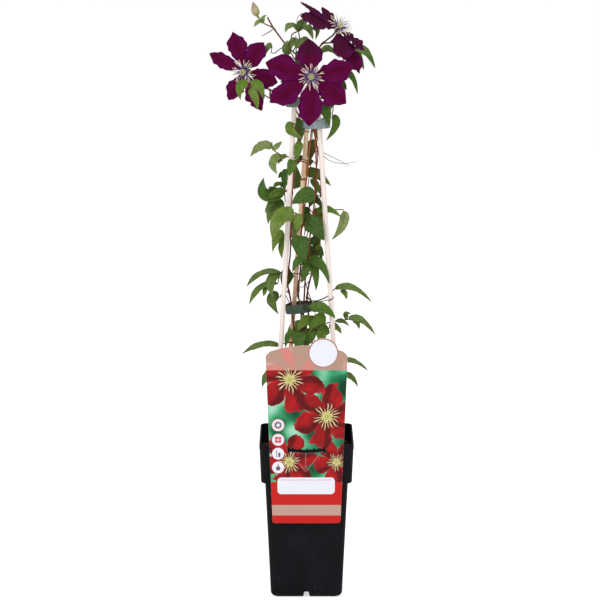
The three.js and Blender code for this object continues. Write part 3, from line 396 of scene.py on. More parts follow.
def stand_along(obj: Thing, foot: Vector, way: Vector, degrees: float) -> Thing:
    """Turns an object that stands at the origin, moves it to its foot and shades it.

    Args:
        obj: the object.
        foot: where it goes, in metres.
        way: the direction that its Z axis gets.
        degrees: the sharpest edge that is shaded smooth.

    Returns:
        The object.
    """
    obj.rotation_mode = "QUATERNION"
    obj.rotation_quaternion = Vector((0, 0, 1)).rotation_difference(way.normalized())
    obj.location = foot
    return smooth(settle(obj), degrees)


# ---------- shader wiring ----------


def linear(colour: Colour) -> tuple[float, ...]:
    """A colour given in 0 to 255 as a painter sees it, in the shader's own light values."""
    parts = [c / 255 for c in colour]
    return tuple(c / 12.92 if c <= 0.04045 else ((c + 0.055) / 1.055) ** 2.4 for c in parts) + (1.0,)


@dataclass(frozen=True)
class Signal:
    """A value that changes over a surface, with which sums can be written."""

    wires: "Wires"
    socket: Socket

    def __add__(self, other: "Value") -> "Signal":
        """The sum with another value."""
        return self.wires.math("ADD", self, other)

    def __sub__(self, other: "Value") -> "Signal":
        """The difference from another value."""
        return self.wires.math("SUBTRACT", self, other)

    def __mul__(self, other: "Value") -> "Signal":
        """The product with another value."""
        return self.wires.math("MULTIPLY", self, other)

    def __abs__(self) -> "Signal":
        """The value without its sign."""
        return self.wires.math("ABSOLUTE", self)


Value = Signal | float | tuple
Signals = dict[str, Signal]


@dataclass
class Wires:
    """Adds the nodes of one tree and links them."""

    tree: bpy.types.NodeTree

    def put(self, socket: Socket, value: Value) -> None:
        """Links a socket, or sets its value.

        Args:
            socket: an input.
            value: what it gets.
        """
        if isinstance(value, Signal):
            self.tree.links.new(value.socket, socket)
        else:
            painted = socket.type == "RGBA" and len(value) == 3
            socket.default_value = linear(value) if painted else value

    def node(self, kind: str, inputs: dict[str | int, Value] = {}, out: str | int = 0, **settings: object
             ) -> Signal:
        """Adds a node.

        Args:
            kind: Blender's name for it, without ShaderNode.
            inputs: what its inputs are fed with.
            out: which output is wanted.
            settings: its own values by name.

        Returns:
            The output.
        """
        made = self.tree.nodes.new("ShaderNode" + kind)
        for key, value in settings.items():
            setattr(made, key, value)
        for key, value in inputs.items():
            self.put(made.inputs[key], value)
        return Signal(self, made.outputs[out])

    def math(self, operation: str, *values: Value, clamp: bool = False) -> Signal:
        """A sum on one, two or three values."""
        return self.node("Math", dict(enumerate(values)), operation=operation, use_clamp=clamp)

    def most(self, *values: Value) -> Signal:
        """The greater of two values."""
        return self.math("MAXIMUM", *values)

    def band(self, value: Value, low: Value, high: Value, start: Value = 0.0, end: Value = 1.0) -> Signal:
        """A soft step of a value from start to end between low and high."""
        return self.node("MapRange", {"Value": value, "From Min": low, "From Max": high, "To Min": start,
                                      "To Max": end}, interpolation_type="SMOOTHSTEP")

    def mix(self, share: Value, first: Value, second: Value, blend: str = "MIX") -> Signal:
        """Mixes two colours by a share from 0 to 1."""
        return self.node("Mix", {0: share, 6: first, 7: second}, 2, data_type="RGBA", blend_type=blend)

    def ramp(self, share: Value, *stops: tuple[float, Colour]) -> Signal:
        """Colours along a scale from 0 to 1.

        Args:
            share: where on the scale.
            stops: places on it and their colours.

        Returns:
            The colour there.
        """
        made = self.node("ValToRGB", {0: share})
        row = made.socket.node.color_ramp.elements
        while len(row) < len(stops):
            row.new(0.5)
        for element, (at, colour) in zip(row, stops):
            element.position, element.color = at, linear(colour)
        return made

    def noise(self, vector: Value, scale: Value, detail: float = 3) -> Signal:
        """Cloudy noise from 0 to 1."""
        return self.node("TexNoise", {"Vector": vector, "Scale": scale, "Detail": detail, "Roughness": 0.55})

    def stretch(self, vector: Value, scale: Place, turn: Place = (0, 0, 0)) -> Signal:
        """A vector scaled and turned."""
        return self.node("Mapping", {"Vector": vector, "Rotation": turn, "Scale": scale})

    def vector(self, *parts: Value) -> Signal:
        """A vector from its parts."""
        return self.node("CombineXYZ", dict(enumerate(parts)))

    def here(self) -> Signal:
        """The shaded point's place on the object."""
        return self.node("TexCoord", out="Object")

    def split(self, vector: Value) -> tuple[Signal, Signal, Signal]:
        """The three parts of a vector."""
        made = self.node("SeparateXYZ", {0: vector})
        return tuple(Signal(self, out) for out in made.socket.node.outputs)

    def blade_map(self) -> tuple[Signal, Signal, Signal]:
        """A point's place across and along its blade, and how far it is from the rib, from 0 to 1."""
        across, along, _ = self.split(self.node("UVMap"))
        return across, along, abs(self.math("MULTIPLY_ADD", across, 2.0, -1.0))

    def kept(self, name: str) -> Signal:
        """The value that each point keeps under a name."""
        return self.node("Attribute", out="Fac", attribute_name=name)

    def bump(self, height: Value, strength: float, distance: float) -> Signal:
        """The normal of a surface raised by a height."""
        return self.node("Bump", {"Strength": strength, "Distance": distance, "Height": height})


class Recipe(Wires):
    """One material in the making: its wires, and the shader that they feed."""

    def __init__(self, name: str, **sockets: Value) -> None:
        """Begins a material.

        Args:
            name: the material's name.
            sockets: the shader's own, with _ for a space in their names.
        """
        self.material = bpy.data.materials.new(name)
        self.material.use_nodes = True
        super().__init__(self.material.node_tree)
        self.feed(**sockets)

    def feed(self, **sockets: Value) -> Material:
        """Sets or links the shader's sockets.

        Args:
            sockets: the shader's own by name.

        Returns:
            The material.
        """
        for key, value in sockets.items():
            self.put(self.tree.nodes["Principled BSDF"].inputs[key.replace("_", " ")], value)
        return self.material


NUMBER, COLOUR, VECTOR = "NodeSocketFloat", "NodeSocketColor", "NodeSocketVector"
BLACK, WHITE = (0, 0, 0), (255, 255, 255)
Drawing = Callable[[Wires, SimpleNamespace], Signals]


def effect(name: str, **inputs: float | Colour | None) -> Callable[[Drawing], Callable[..., Signals]]:
    """Makes a shader group of a drawing: built once, and placed in each material with its own values.

    Args:
        name: the group's name.
        inputs: each input's first value, which is a number, a colour, or None for a vector.

    Returns:
        What turns the drawing into a function that places the group and gives its outputs.
    """
    def title(key: str) -> str:
        """An input's name as the group shows it."""
        return key.replace("_", " ").title()

    def shared(draw: Drawing) -> Callable[..., Signals]:
        """Wraps the drawing.

        Args:
            draw: the drawing.

        Returns:
            What places the group.
        """
        @cache
        def tree() -> bpy.types.NodeTree:
            """Builds the group.

            Returns:
                The group.
            """
            made = bpy.data.node_groups.new(name, "ShaderNodeTree")
            taken = made.nodes.new("NodeGroupInput")
            given = made.nodes.new("NodeGroupOutput")
            wires, parts = Wires(made), {}
            for key, value in inputs.items():
                kind = VECTOR if value is None else COLOUR if isinstance(value, tuple) else NUMBER
                socket = made.interface.new_socket(title(key), in_out="INPUT", socket_type=kind)
                if kind == NUMBER:
                    socket.default_value = value
                parts[key] = Signal(wires, taken.outputs[title(key)])
            for key, signal in draw(wires, SimpleNamespace(**parts)).items():
                kind = COLOUR if key == "Color" else NUMBER
                made.interface.new_socket(key, in_out="OUTPUT", socket_type=kind)
                wires.put(given.inputs[key], signal)
            return made

        def place(wires: Wires, **values: Value) -> Signals:
            """Places the group in a tree and feeds its inputs.

            Args:
                wires: the tree's wires.
                values: its inputs by name.

            Returns:
                Its outputs by name.
            """
            inputs = {title(key): value for key, value in values.items()}
            made = wires.node("Group", node_tree=tree(), inputs=inputs)
            return {out.name: Signal(wires, out) for out in made.socket.node.outputs}
        return place
    return shared


@effect("Mottle", vector=None, scale=50.0, low=0.35, high=0.65, dark=BLACK, light=WHITE)
def mottle(w: Wires, given: SimpleNamespace) -> Signals:
    """Cloudy patches of two colours, with their mask."""
    mask = w.band(w.noise(given.vector, given.scale, 4), given.low, given.high)
    return {"Color": w.mix(mask, given.dark, given.light), "Mask": mask}


@effect("Streaks", vector=None, fine=900.0, broad=200.0)
def streaks(w: Wires, given: SimpleNamespace) -> Signals:
    """Fine lines along one axis, as in wood or on a stem."""
    fine, broad = w.noise(given.vector, given.fine, 2), w.noise(given.vector, given.broad, 2)
    return {"Mask": fine * 0.6 + broad * 0.4}


@effect("Veins", across=0.5, along=0.0, side=0.42, cross=8.0)
def vein_lines(w: Wires, given: SimpleNamespace) -> Signals:
    """A mid-rib, long side veins and faint cross veins, on a blade's map from 0 to 1 across and along.

    Args:
        w: the group's wires.
        given: its inputs.

    Returns:
        Their masks.
    """
    away = abs(w.math("MULTIPLY_ADD", given.across, 2.0, -1.0))
    fade = w.band(given.along, 0.72, 0.97, 1.0, 0.0)
    sides = 0.0
    for share, width in ((1.0, 0.045), (1.9, 0.04)):
        sides = w.most(sides, w.band(abs(away - given.side * share), 0.008, width, 1.0, 0.0))
    wave = w.math("SINE", (given.along - away * 0.16) * given.cross * (2 * math.pi))
    net = w.band(wave, 0.82, 1.0) * w.band(away, 0.05, 0.2)
    return {"Rib": w.band(away, 0.02, 0.09, 1.0, 0.0), "Sides": sides * fade, "Net": net * fade}


PRINTED = {"x": 0.0, "z": 0.0, "middle_x": 0.0, "middle_z": 0.0}
CRISP = 4000.0


def length(w: Wires, dx: Signal, dz: Signal) -> Signal:
    """How long a line of two sides is."""
    return w.math("SQRT", dx * dx + dz * dz)


@effect("Printed disc", **PRINTED, radius=0.01)
def disc(w: Wires, given: SimpleNamespace) -> Signals:
    """A round printed spot, 1 inside and 0 outside."""
    far = length(w, given.x - given.middle_x, given.z - given.middle_z)
    return {"Mask": w.math("MULTIPLY_ADD", given.radius - far, CRISP, 0.5, clamp=True)}


@effect("Printed panel", **PRINTED, half_x=0.01, half_z=0.01, corner=0.0)
def panel(w: Wires, given: SimpleNamespace) -> Signals:
    """A printed oblong with round corners.

    Args:
        w: the group's wires.
        given: its inputs.

    Returns:
        Its mask, 1 inside and 0 outside.
    """
    past_x = w.most(abs(given.x - given.middle_x) - (given.half_x - given.corner), 0.0)
    past_z = w.most(abs(given.z - given.middle_z) - (given.half_z - given.corner), 0.0)
    return {"Mask": w.math("MULTIPLY", given.corner - length(w, past_x, past_z), CRISP, clamp=True)}


@effect("Printed blossom", **PRINTED, radius=0.03, petals=5.0, turn=0.0, wobble=0.0)
def rosette(w: Wires, given: SimpleNamespace) -> Signals:
    """A printed blossom of round petals.

    Args:
        w: the group's wires.
        given: its inputs.

    Returns:
        Its mask, how far out a point is, its folds and its rays.
    """
    dx, dz = given.x - given.middle_x, given.z - given.middle_z
    turn = w.math("ARCTAN2", dz, dx) + given.turn + given.wobble * 1.2
    half = turn * given.petals * 0.5
    lobe = w.math("POWER", abs(w.math("COSINE", half)), 0.45)
    ruffle = w.math("SINE", turn * 31.0) * 0.012
    edge = given.radius * w.math("MULTIPLY_ADD", lobe, 0.6, 0.4) * (given.wobble + 1.0 + ruffle)
    far = length(w, dx, dz)
    return {"Mask": w.math("MULTIPLY_ADD", edge - far, 0.75 * CRISP, 0.5, clamp=True),
            "Out": w.math("DIVIDE", far, edge), "Fold": w.math("SINE", half * 2.0),
            "Rays": w.math("COSINE", turn * 19.0)}


# ---------- finishes ----------


@dataclass(frozen=True)
class PotPlastic:
    """Black nursery-pot plastic with a faint blue sheen painted into its colours, a few scuffs and a little
    dust.
    """

    # the blue tint in these two colours is painted sheen; the worn colour also marks real scuffs
    base: Colour = (7, 7, 11)
    worn: Colour = (19, 19, 27)
    dust: Colour = (120, 106, 96)

    def material(self) -> Material:
        """Makes the material.

        Returns:
            The material.
        """
        w = Recipe("pot_plastic", Specular_IOR_Level=0.12)
        here = w.here()
        cloud = mottle(w, vector=here, scale=26.0, low=0.35, high=0.75, dark=self.base, light=self.worn)
        flow = streaks(w, vector=w.stretch(here, (1, 1, 0.06)), fine=700.0, broad=160.0)["Mask"]
        rubbed = w.mix(w.band(flow, 0.5, 0.72, 0.0, 0.3), cloud["Color"], self.worn)
        dusty = w.band(w.noise(here, 420.0, 1), 0.74, 0.8) * w.band(w.split(here)[2], 0.0, 0.06, 1.0, 0.12)
        return w.feed(Base_Color=w.mix(dusty * 0.7, rubbed, self.dust),
                      Roughness=w.band(cloud["Mask"], 0.0, 1.0, 0.42, 0.56) + dusty * 0.3,
                      Normal=w.bump(w.noise(here, 1500.0, 2) + flow * 0.8, 0.18, 0.0004))


@dataclass(frozen=True)
class Compost:
    """Brown peat compost with darker crumbs and a few pale fibres."""

    dark: Colour = (38, 23, 14)
    light: Colour = (106, 72, 44)
    fibre: Colour = (168, 132, 92)

    def material(self) -> Material:
        """Makes the material.

        Returns:
            The material.
        """
        w = Recipe("compost", Roughness=0.95, Specular_IOR_Level=0.15)
        here = w.here()
        cloud = mottle(w, vector=here, scale=170.0, low=0.34, high=0.66, dark=self.dark, light=self.light)
        fibres = w.band(w.noise(w.stretch(here, (1, 0.25, 1), (0, 0, 0.7)), 900.0, 1), 0.66, 0.74)
        return w.feed(Base_Color=w.mix(fibres * 0.55, cloud["Color"], self.fibre),
                      Normal=w.bump(w.noise(here, 620.0, 4) + cloud["Mask"], 0.9, 0.0012))


@dataclass(frozen=True)
class PaleWood:
    """A planed softwood dowel, nearly white, with fine grain lines and a few darker flecks."""

    pale: Colour = (255, 243, 236)
    grain: Colour = (246, 226, 214)
    fleck: Colour = (186, 148, 122)

    def material(self, name: str, turn: Place) -> Material:
        """Makes one rod's material.

        Args:
            name: the material's name.
            turn: the angles that stand the rod upright again, for its grain.

        Returns:
            The material.
        """
        w = Recipe(name, Roughness=0.62, Specular_IOR_Level=0.2)
        grain = streaks(w, vector=w.stretch(w.here(), (1, 1, 0.035), turn), fine=1500.0, broad=420.0)["Mask"]
        colour = w.mix(w.band(grain, 0.4, 0.66) * 0.75, self.pale, self.grain)
        flecks = w.band(w.noise(w.stretch(w.here(), (1, 1, 0.15), turn), 520.0, 1), 0.7, 0.76)
        return w.feed(Base_Color=w.mix(flecks * 0.5, colour, self.fleck), Normal=w.bump(grain, 0.35, 0.0004))


@dataclass(frozen=True)
class Bamboo:
    """A thin bamboo cane: honey skin, darker low down and in rings over its knuckles, stained along it."""

    skin: Colour = (255, 234, 200)
    stain: Colour = (246, 202, 162)
    shaded: Colour = (232, 142, 102)
    ring: Colour = (104, 72, 50)

    def material(self, turn: Place, knuckles: Sequence[float]) -> Material:
        """Makes the material.

        Args:
            turn: the angles that stand the cane upright again, for its grain.
            knuckles: the knuckles' heights in the plant's frame, in metres.

        Returns:
            The cane's material.
        """
        w = Recipe("bamboo_skin", Specular_IOR_Level=0.2)
        here = w.here()
        grain = streaks(w, vector=w.stretch(here, (1, 1, 0.03), turn), fine=1700.0, broad=380.0)["Mask"]
        patch = mottle(w, vector=w.stretch(here, (1, 1, 0.3), turn), scale=70.0, low=0.42, high=0.7,
                       dark=self.skin, light=self.stain)["Color"]
        colour = w.mix(w.band(grain, 0.46, 0.74, 0.0, 0.36), patch, self.stain)
        height = w.split(here)[2]
        colour = w.mix(w.band(height, 0.36, 0.5, 0.45, 0.0), colour, self.shaded)
        for knuckle in knuckles:
            colour = w.mix(w.band(abs(height - knuckle), 0.0004, 0.0026, 0.85, 0.0), colour, self.ring)
        return w.feed(Base_Color=colour, Roughness=w.band(grain, 0.3, 0.7, 0.36, 0.6),
                      Normal=w.bump(grain, 0.3, 0.0004))


@dataclass(frozen=True)
class ClipPlastic:
    """Soft plastic of a plant clip, scuffed in fine upright streaks."""

    name: str
    base: Colour
    worn: Colour
    rough: float = 0.4

    def material(self) -> Material:
        """Makes the material.

        Returns:
            The material.
        """
        w = Recipe(self.name, Specular_IOR_Level=0.3)
        here = w.here()
        cloud = mottle(w, vector=here, scale=120.0, low=0.4, high=0.72, dark=self.base, light=self.worn)
        lines = streaks(w, vector=w.stretch(here, (1, 1, 0.08)), fine=900.0, broad=260.0)["Mask"]
        return w.feed(Base_Color=w.mix(w.band(lines, 0.46, 0.68, 0.0, 0.6), cloud["Color"], self.worn),
                      Roughness=w.band(cloud["Mask"], 0.0, 1.0, self.rough, self.rough + 0.2),
                      Normal=w.bump(lines, 0.4, 0.0006))


@dataclass(frozen=True)
class TieWire:
    """Paper-covered tie wire, dark with a dull shine where the paper has rubbed off."""

    paper: Colour = (62, 44, 36)
    steel: Colour = (150, 140, 134)

    def material(self) -> Material:
        """Makes the material.

        Returns:
            The material.
        """
        w = Recipe("tie_wire")
        rub = mottle(w, vector=w.here(), scale=900.0, low=0.55, high=0.7, dark=self.paper, light=self.steel)
        mask = rub["Mask"]
        return w.feed(Base_Color=rub["Color"], Metallic=mask * 0.9, Normal=w.bump(mask, 0.4, 0.0002),
                      Roughness=w.band(mask, 0.0, 1.0, 0.7, 0.35))


@dataclass(frozen=True)
class StemSkin:
    """The skin of a climbing stem or a leaf stalk, finely grooved, red in patches, darker low and high up."""

    name: str
    red: Colour
    green: Colour
    share: float = 0.5
    low: Colour = (54, 32, 32)
    crown: float = 0.65

    def material(self) -> Material:
        """Makes the material.

        Returns:
            The material.
        """
        w = Recipe(self.name, Specular_IOR_Level=0.15)
        here = w.here()
        grooves = streaks(w, vector=w.stretch(here, (1, 1, 0.05)), fine=1300.0, broad=500.0)["Mask"]
        flush = w.noise(w.stretch(here, (1, 1, 0.35)), 60.0, 2)
        colour = w.mix(w.band(flush, self.share - 0.14, self.share + 0.14), self.red, self.green)
        height = w.split(here)[2]
        # Darker low down and towards the crown.
        darkening = w.most(w.band(height, 0.4, 0.5, 0.72, 0.0), w.band(height, 0.63, 0.7, 0.0, self.crown))
        colour = w.mix(darkening, colour, self.low)
        deep = tuple(int(0.55 * c) for c in self.red)
        return w.feed(Base_Color=w.mix(w.band(grooves, 0.4, 0.62, 0.35, 0.0), colour, deep),
                      Roughness=w.band(flush, 0.3, 0.7, 0.5, 0.68), Normal=w.bump(grooves, 0.6, 0.0004))


@dataclass(frozen=True)
class LeafFace:
    """One side of a leaf blade, coloured by its leaflet's age, with a painted grey sheen on the low side
    leaves and the top leaves.
    """

    name: str
    old: Colour
    full: Colour
    young: Colour
    new: Colour
    vein: Colour
    edge: Colour
    rough: float
    relief: float
    # pale grey green of the painted sheen, for light on the low side leaves and the top leaves
    bloom: Colour = (126, 142, 80)

    def material(self) -> Material:
        """Makes the material.

        Returns:
            The material.
        """
        w = Recipe(self.name, Specular_IOR_Level=0.2)
        across, along, away = w.blade_map()
        veins = vein_lines(w, across=across, along=along, side=0.4, cross=9.0)
        here = w.here()
        age = w.kept("age") + w.band(w.noise(here, 55.0, 2), 0.3, 0.7, -0.07, 0.07)
        tone = w.ramp(age, (0.0, self.old), (0.36, self.full), (0.7, self.young), (1.0, self.new))
        x, _, z = w.split(here)
        # Painted sheen: low leaves to the sides and leaves at the top are mixed towards a pale grey green.
        outer = w.band(abs(x), 0.03, 0.045, 0.0, 0.4) * w.band(z, 0.48, 0.52, 1.0, 0.0)
        tone = w.mix(w.most(outer, w.band(z, 0.69, 0.705, 0.0, 0.65)), tone, self.bloom)
        blotch = w.band(w.noise(here, 240.0), 0.35, 0.65, 0.8, 1.12)
        tone = w.mix(1.0, tone, w.vector(blotch, blotch, blotch), "MULTIPLY")
        lines = w.most(veins["Rib"] * 0.28, w.most(veins["Sides"] * 0.17, veins["Net"] * 0.1))
        tone = w.mix(lines, tone, self.vein)
        rim = w.band(away, 0.88, 1.0) * w.band(w.noise(here, 34.0, 1), 0.42, 0.62)
        relief = lines * (1.6 * self.relief) + w.noise(here, 1300.0, 2) * 0.35
        return w.feed(Base_Color=w.mix(rim * 0.75, tone, self.edge), Roughness=blotch * 0.08 + self.rough,
                      Normal=w.bump(relief, 0.7, 0.0007))


@dataclass(frozen=True)
class TepalFace:
    """One side of a wine tepal: redder along its ribs, purple at its edges, with painted shade on the high
    flowers.
    """

    name: str
    heart: Colour
    field: Colour
    edge: Colour
    rib: Colour
    rough: float = 0.62
    dark: Colour = (58, 3, 40)
    # colour of the painted shade on the high tepals
    darkening: Colour = (46, 22, 38)

    def material(self) -> Material:
        """Makes the material.

        Returns:
            The material.
        """
        w = Recipe(self.name, Specular_IOR_Level=0.05, Sheen_Weight=0.02, Sheen_Roughness=0.4,
                   Sheen_Tint=(255, 170, 215))
        across, along, away = w.blade_map()
        veins = vein_lines(w, across=across, along=along, side=0.2, cross=15.0)
        here = w.here()
        spread = away + w.band(w.noise(here, 90.0), 0.3, 0.7, -0.1, 0.1)
        tone = w.ramp(spread, (0.0, self.heart), (0.3, self.field), (0.9, self.edge))
        lines = w.most(veins["Rib"] * 0.24, veins["Sides"] * 0.2)
        fibres = w.noise(w.vector(across * 26.0, along * 2.5), 1.0)
        tone = w.mix(w.band(fibres, 0.38, 0.64, 0.0, 0.62), w.mix(lines, tone, self.rib), self.dark)
        x, _, z = w.split(here)
        # Painted shade: high tepals to the right of the left flower are darkened and greyed.
        painted_shade_share = w.band(z, 0.686, 0.708, 0.0, 0.5) * w.band(x, -0.045, -0.02, 0.0, 1.0)
        tone = w.mix(painted_shade_share, tone, self.darkening)
        relief = lines * 0.8 + fibres + w.noise(here, 1800.0, 2) * 0.4
        return w.feed(Base_Color=tone, Roughness=w.band(fibres, 0.3, 0.7, self.rough, self.rough + 0.15),
                      Normal=w.bump(relief, 0.45, 0.0005))


@dataclass(frozen=True)
class FlowerHeart:
    """The small parts at a flower's middle, shaded from their foot to their tip by the kept value."""

    name: str
    foot: Colour
    middle: Colour
    tip: Colour
    rough: float = 0.6

    def material(self) -> Material:
        """Makes the material.

        Returns:
            The material.
        """
        w = Recipe(self.name, Specular_IOR_Level=0.14)
        tone = w.ramp(w.kept("rise"), (0.0, self.foot), (0.35, self.middle), (1.0, self.tip))
        grain = mottle(w, vector=w.here(), scale=1100.0, low=0.3, high=0.7, dark=(205, 196, 190), light=WHITE)
        return w.feed(Base_Color=w.mix(1.0, tone, grain["Color"], "MULTIPLY"),
                      Roughness=w.band(grain["Mask"], 0, 1, self.rough, self.rough + 0.2),
                      Normal=w.bump(grain["Mask"], 0.3, 0.0002))


@dataclass(frozen=True)
class Blossom:
    """One painted blossom on the card: its middle and radius in millimetres, and its petals."""

    x: float
    z: float
    radius: float
    petals: float
    turn: float


@dataclass(frozen=True)
class CardPrint:
    """The printed front of the plant card: a plain header, round red blossoms on soft green, care signs."""

    veil: Colour = (186, 150, 134)
    red: Colour = (190, 20, 24)
    cream: Colour = (238, 222, 170)
    white: Colour = (240, 241, 252)
    pink: Colour = (214, 96, 104)
    band: Colour = (204, 30, 24)
    strip: Colour = (198, 160, 146)
    ink: Colour = (120, 84, 88)
    header_foot: float = 303
    blossoms: tuple[Blossom, ...] = (
        Blossom(38, 184, 30, 5, 0.4), Blossom(-22, 184, 37, 6, 1.9), Blossom(26, 243, 43, 6, 0.75),
        Blossom(-21, 291, 44, 6, 1.35))
    lobe: Pair = (21, 325)
    sign_x: float = -36
    sign_heights: tuple[float, ...] = (232, 213, 195, 177)

    def material(self) -> Material:
        """Makes the material by painting layer over layer.

        Returns:
            The material.
        """
        w = Recipe("card_front", Specular_IOR_Level=0.2)
        here = w.here()
        x, _, z = w.split(here)
        at = {"x": x, "z": z}
        soft = w.noise(w.stretch(here, (1, 1, 0.8)), 34.0, 1)
        colour = w.ramp(soft, (0.3, (8, 62, 36)), (0.44, (26, 120, 76)), (0.54, (84, 180, 132)),
                        (0.68, (170, 224, 196)))
        wobble = w.band(w.noise(here, 70.0, 2), 0.3, 0.7, -0.07, 0.07)
        for blossom in self.blossoms:
            colour = self._blossom(w, colour, at, blossom, wobble)
        for mask, paint in self._layers(w, colour, at):
            colour = w.mix(mask, colour, paint)
        return w.feed(Base_Color=colour, Roughness=w.band(w.noise(here, 60.0), 0.4, 0.7, 0.26, 0.4),
                      Normal=w.bump(w.noise(here, 35.0, 2), 0.12, 0.002))

    def _blossom(self, w: Wires, under: Value, at: Signals, blossom: Blossom, wobble: Value) -> Signal:
        """Paints one blossom, with a cream crown of stamens.

        Args:
            w: the material's wires.
            under: the colour under it.
            at: the shaded point's x and z.
            blossom: which one.
            wobble: how uneven its petals are.

        Returns:
            The colour with the blossom on it.
        """
        drawn = rosette(w, **at, middle_x=blossom.x * MM, middle_z=blossom.z * MM, radius=blossom.radius * MM,
                        petals=blossom.petals, turn=blossom.turn, wobble=wobble)
        out = drawn["Out"]
        petal = w.ramp(out, (0.0, (40, 2, 8)), (0.3, (104, 6, 12)), (0.62, self.red), (0.9, (168, 16, 22)),
                       (1.0, (204, 44, 60)))
        petal = w.mix(w.band(drawn["Fold"], 0.1, 1.0, 0.0, 0.8), petal, (66, 3, 9))
        petal = w.mix(w.band(wobble, -0.07, 0.07, 0.4, 0.0), petal, (90, 5, 12))
        colour = w.mix(drawn["Mask"], under, petal)
        crown = w.band(out, 0.3, 0.46, 1.0, 0.0) * w.band(drawn["Rays"], 0.35, 0.75)
        colour = w.mix(crown * 0.95, colour, self.cream)
        colour = w.mix(w.band(out, 0.15, 0.22, 0.9, 0.0), colour, (214, 206, 130))
        return w.mix(w.band(out, 0.04, 0.1, 0.7, 0.0), colour, (168, 172, 84))

    def _layers(self, w: Wires, picture: Signal, at: Signals) -> Iterator[tuple[Signal, Value]]:
        """Gives what is printed over the picture, as masks and paints from the lowest up.

        Args:
            w: the material's wires.
            picture: the picture's colour.
            at: the shaded point's x and z.

        Yields:
            Each layer's mask and paint.
        """
        def spot(x: float, z: float, radius: float) -> Signal:
            """The mask of a printed disc, in millimetres."""
            return disc(w, **at, middle_x=x * MM, middle_z=z * MM, radius=radius * MM)["Mask"]

        def oblong(left: float, right: float, foot: float, top: float, corner: float = 0.4) -> Signal:
            """A printed oblong.

            Args:
                left, right, foot, top: its edges in millimetres.
                corner: the radius of its corners.

            Returns:
                Its mask.
            """
            return panel(w, **at, middle_x=(left + right) / 2 * MM, middle_z=(foot + top) / 2 * MM,
                         half_x=(right - left) / 2 * MM, half_z=(top - foot) / 2 * MM,
                         corner=corner * MM)["Mask"]

        veiled = w.mix(w.band(w.split(picture)[0], 0.1, 0.4, 0.0, 1.0), self.veil,
                       w.mix(0.7, picture, (240, 160, 150)))
        edge = self.header_foot * MM
        yield w.band(at["z"], edge - 0.0008, edge + 0.0008), w.mix(0.12, veiled, self.veil)
        yield spot(*self.lobe, 18.6), (178, 120, 104)
        yield spot(*self.lobe, 17.4), self.white
        yield oblong(-60, 60, 90, 158), self.band
        yield oblong(-60, 60, 114, 128), self.strip
        yield oblong(-37, 36, 142, 164, 5), self.white
        yield oblong(-33, 32, 160.2, 161, 0.3), self.pink
        x = self.sign_x
        for height in self.sign_heights:
            yield spot(x, height, 8.2), self.pink
            yield spot(x, height, 7.5), self.white
        sun, bloom, tall, drop = self.sign_heights
        middle = {**at, "middle_x": x * MM}
        yield rosette(w, **middle, middle_z=sun * MM, radius=0.0052, petals=9.0)["Mask"], self.ink
        yield spot(x, sun, 2.2), self.white
        yield rosette(w, **middle, middle_z=bloom * MM, radius=0.005, petals=4.0, turn=0.8)["Mask"], self.pink
        yield spot(x, bloom, 1.3), self.white
        yield oblong(x - 2.6, x - 1.4, tall - 4.6, tall + 4.6), self.ink
        yield oblong(x, x + 3, tall - 4.6, tall + 1.5, 1.2), self.ink
        yield spot(x, drop - 1.2, 2.8), self.ink
        yield oblong(x - 0.7, x + 0.7, drop, drop + 4.4, 0.7), self.ink
        for foot, head in (((-1, 171), (-19, 196)), ((-1, 171), (18, 197)), ((-1, 174), (-1, 200))):
            yield self._crease(w, at, foot, head), (226, 190, 190)

    @staticmethod
    def _crease(w: Wires, at: Signals, foot: Pair, head: Pair) -> Signal:
        """Draws a pale worn fold.

        Args:
            w: the material's wires.
            at: the shaded point's x and z.
            foot: its lower end, in millimetres.
            head: its upper end.

        Returns:
            The mask.
        """
        run_x, run_z = head[0] - foot[0], head[1] - foot[1]
        long = math.hypot(run_x, run_z)
        dx, dz = at["x"] - foot[0] * MM, at["z"] - foot[1] * MM
        off = abs(dx * (run_z / long) - dz * (run_x / long))
        far = dx * (run_x / long) + dz * (run_z / long)
        ends = w.band(far, 0.0, 0.002) * w.band(far, long * MM - 0.003, long * MM, 1, 0)
        return w.band(off, 0.0001, 0.0005, 0.45, 0.0) * ends


@dataclass(frozen=True)
class CardBack:
    """The card's plain white plastic, yellowed a little."""

    sheet: Colour = (232, 228, 220)
    stain: Colour = (222, 217, 207)

    def material(self) -> Material:
        """Makes the material.

        Returns:
            The material.
        """
        w = Recipe("card_back")
        cloud = mottle(w, vector=w.here(), scale=40.0, low=0.4, high=0.7, dark=self.sheet, light=self.stain)
        return w.feed(Base_Color=cloud["Color"], Roughness=w.band(cloud["Mask"], 0, 1, 0.35, 0.5),
                      Normal=w.bump(w.noise(w.here(), 900.0, 1), 0.1, 0.0003))


# ---------- pot and compost ----------


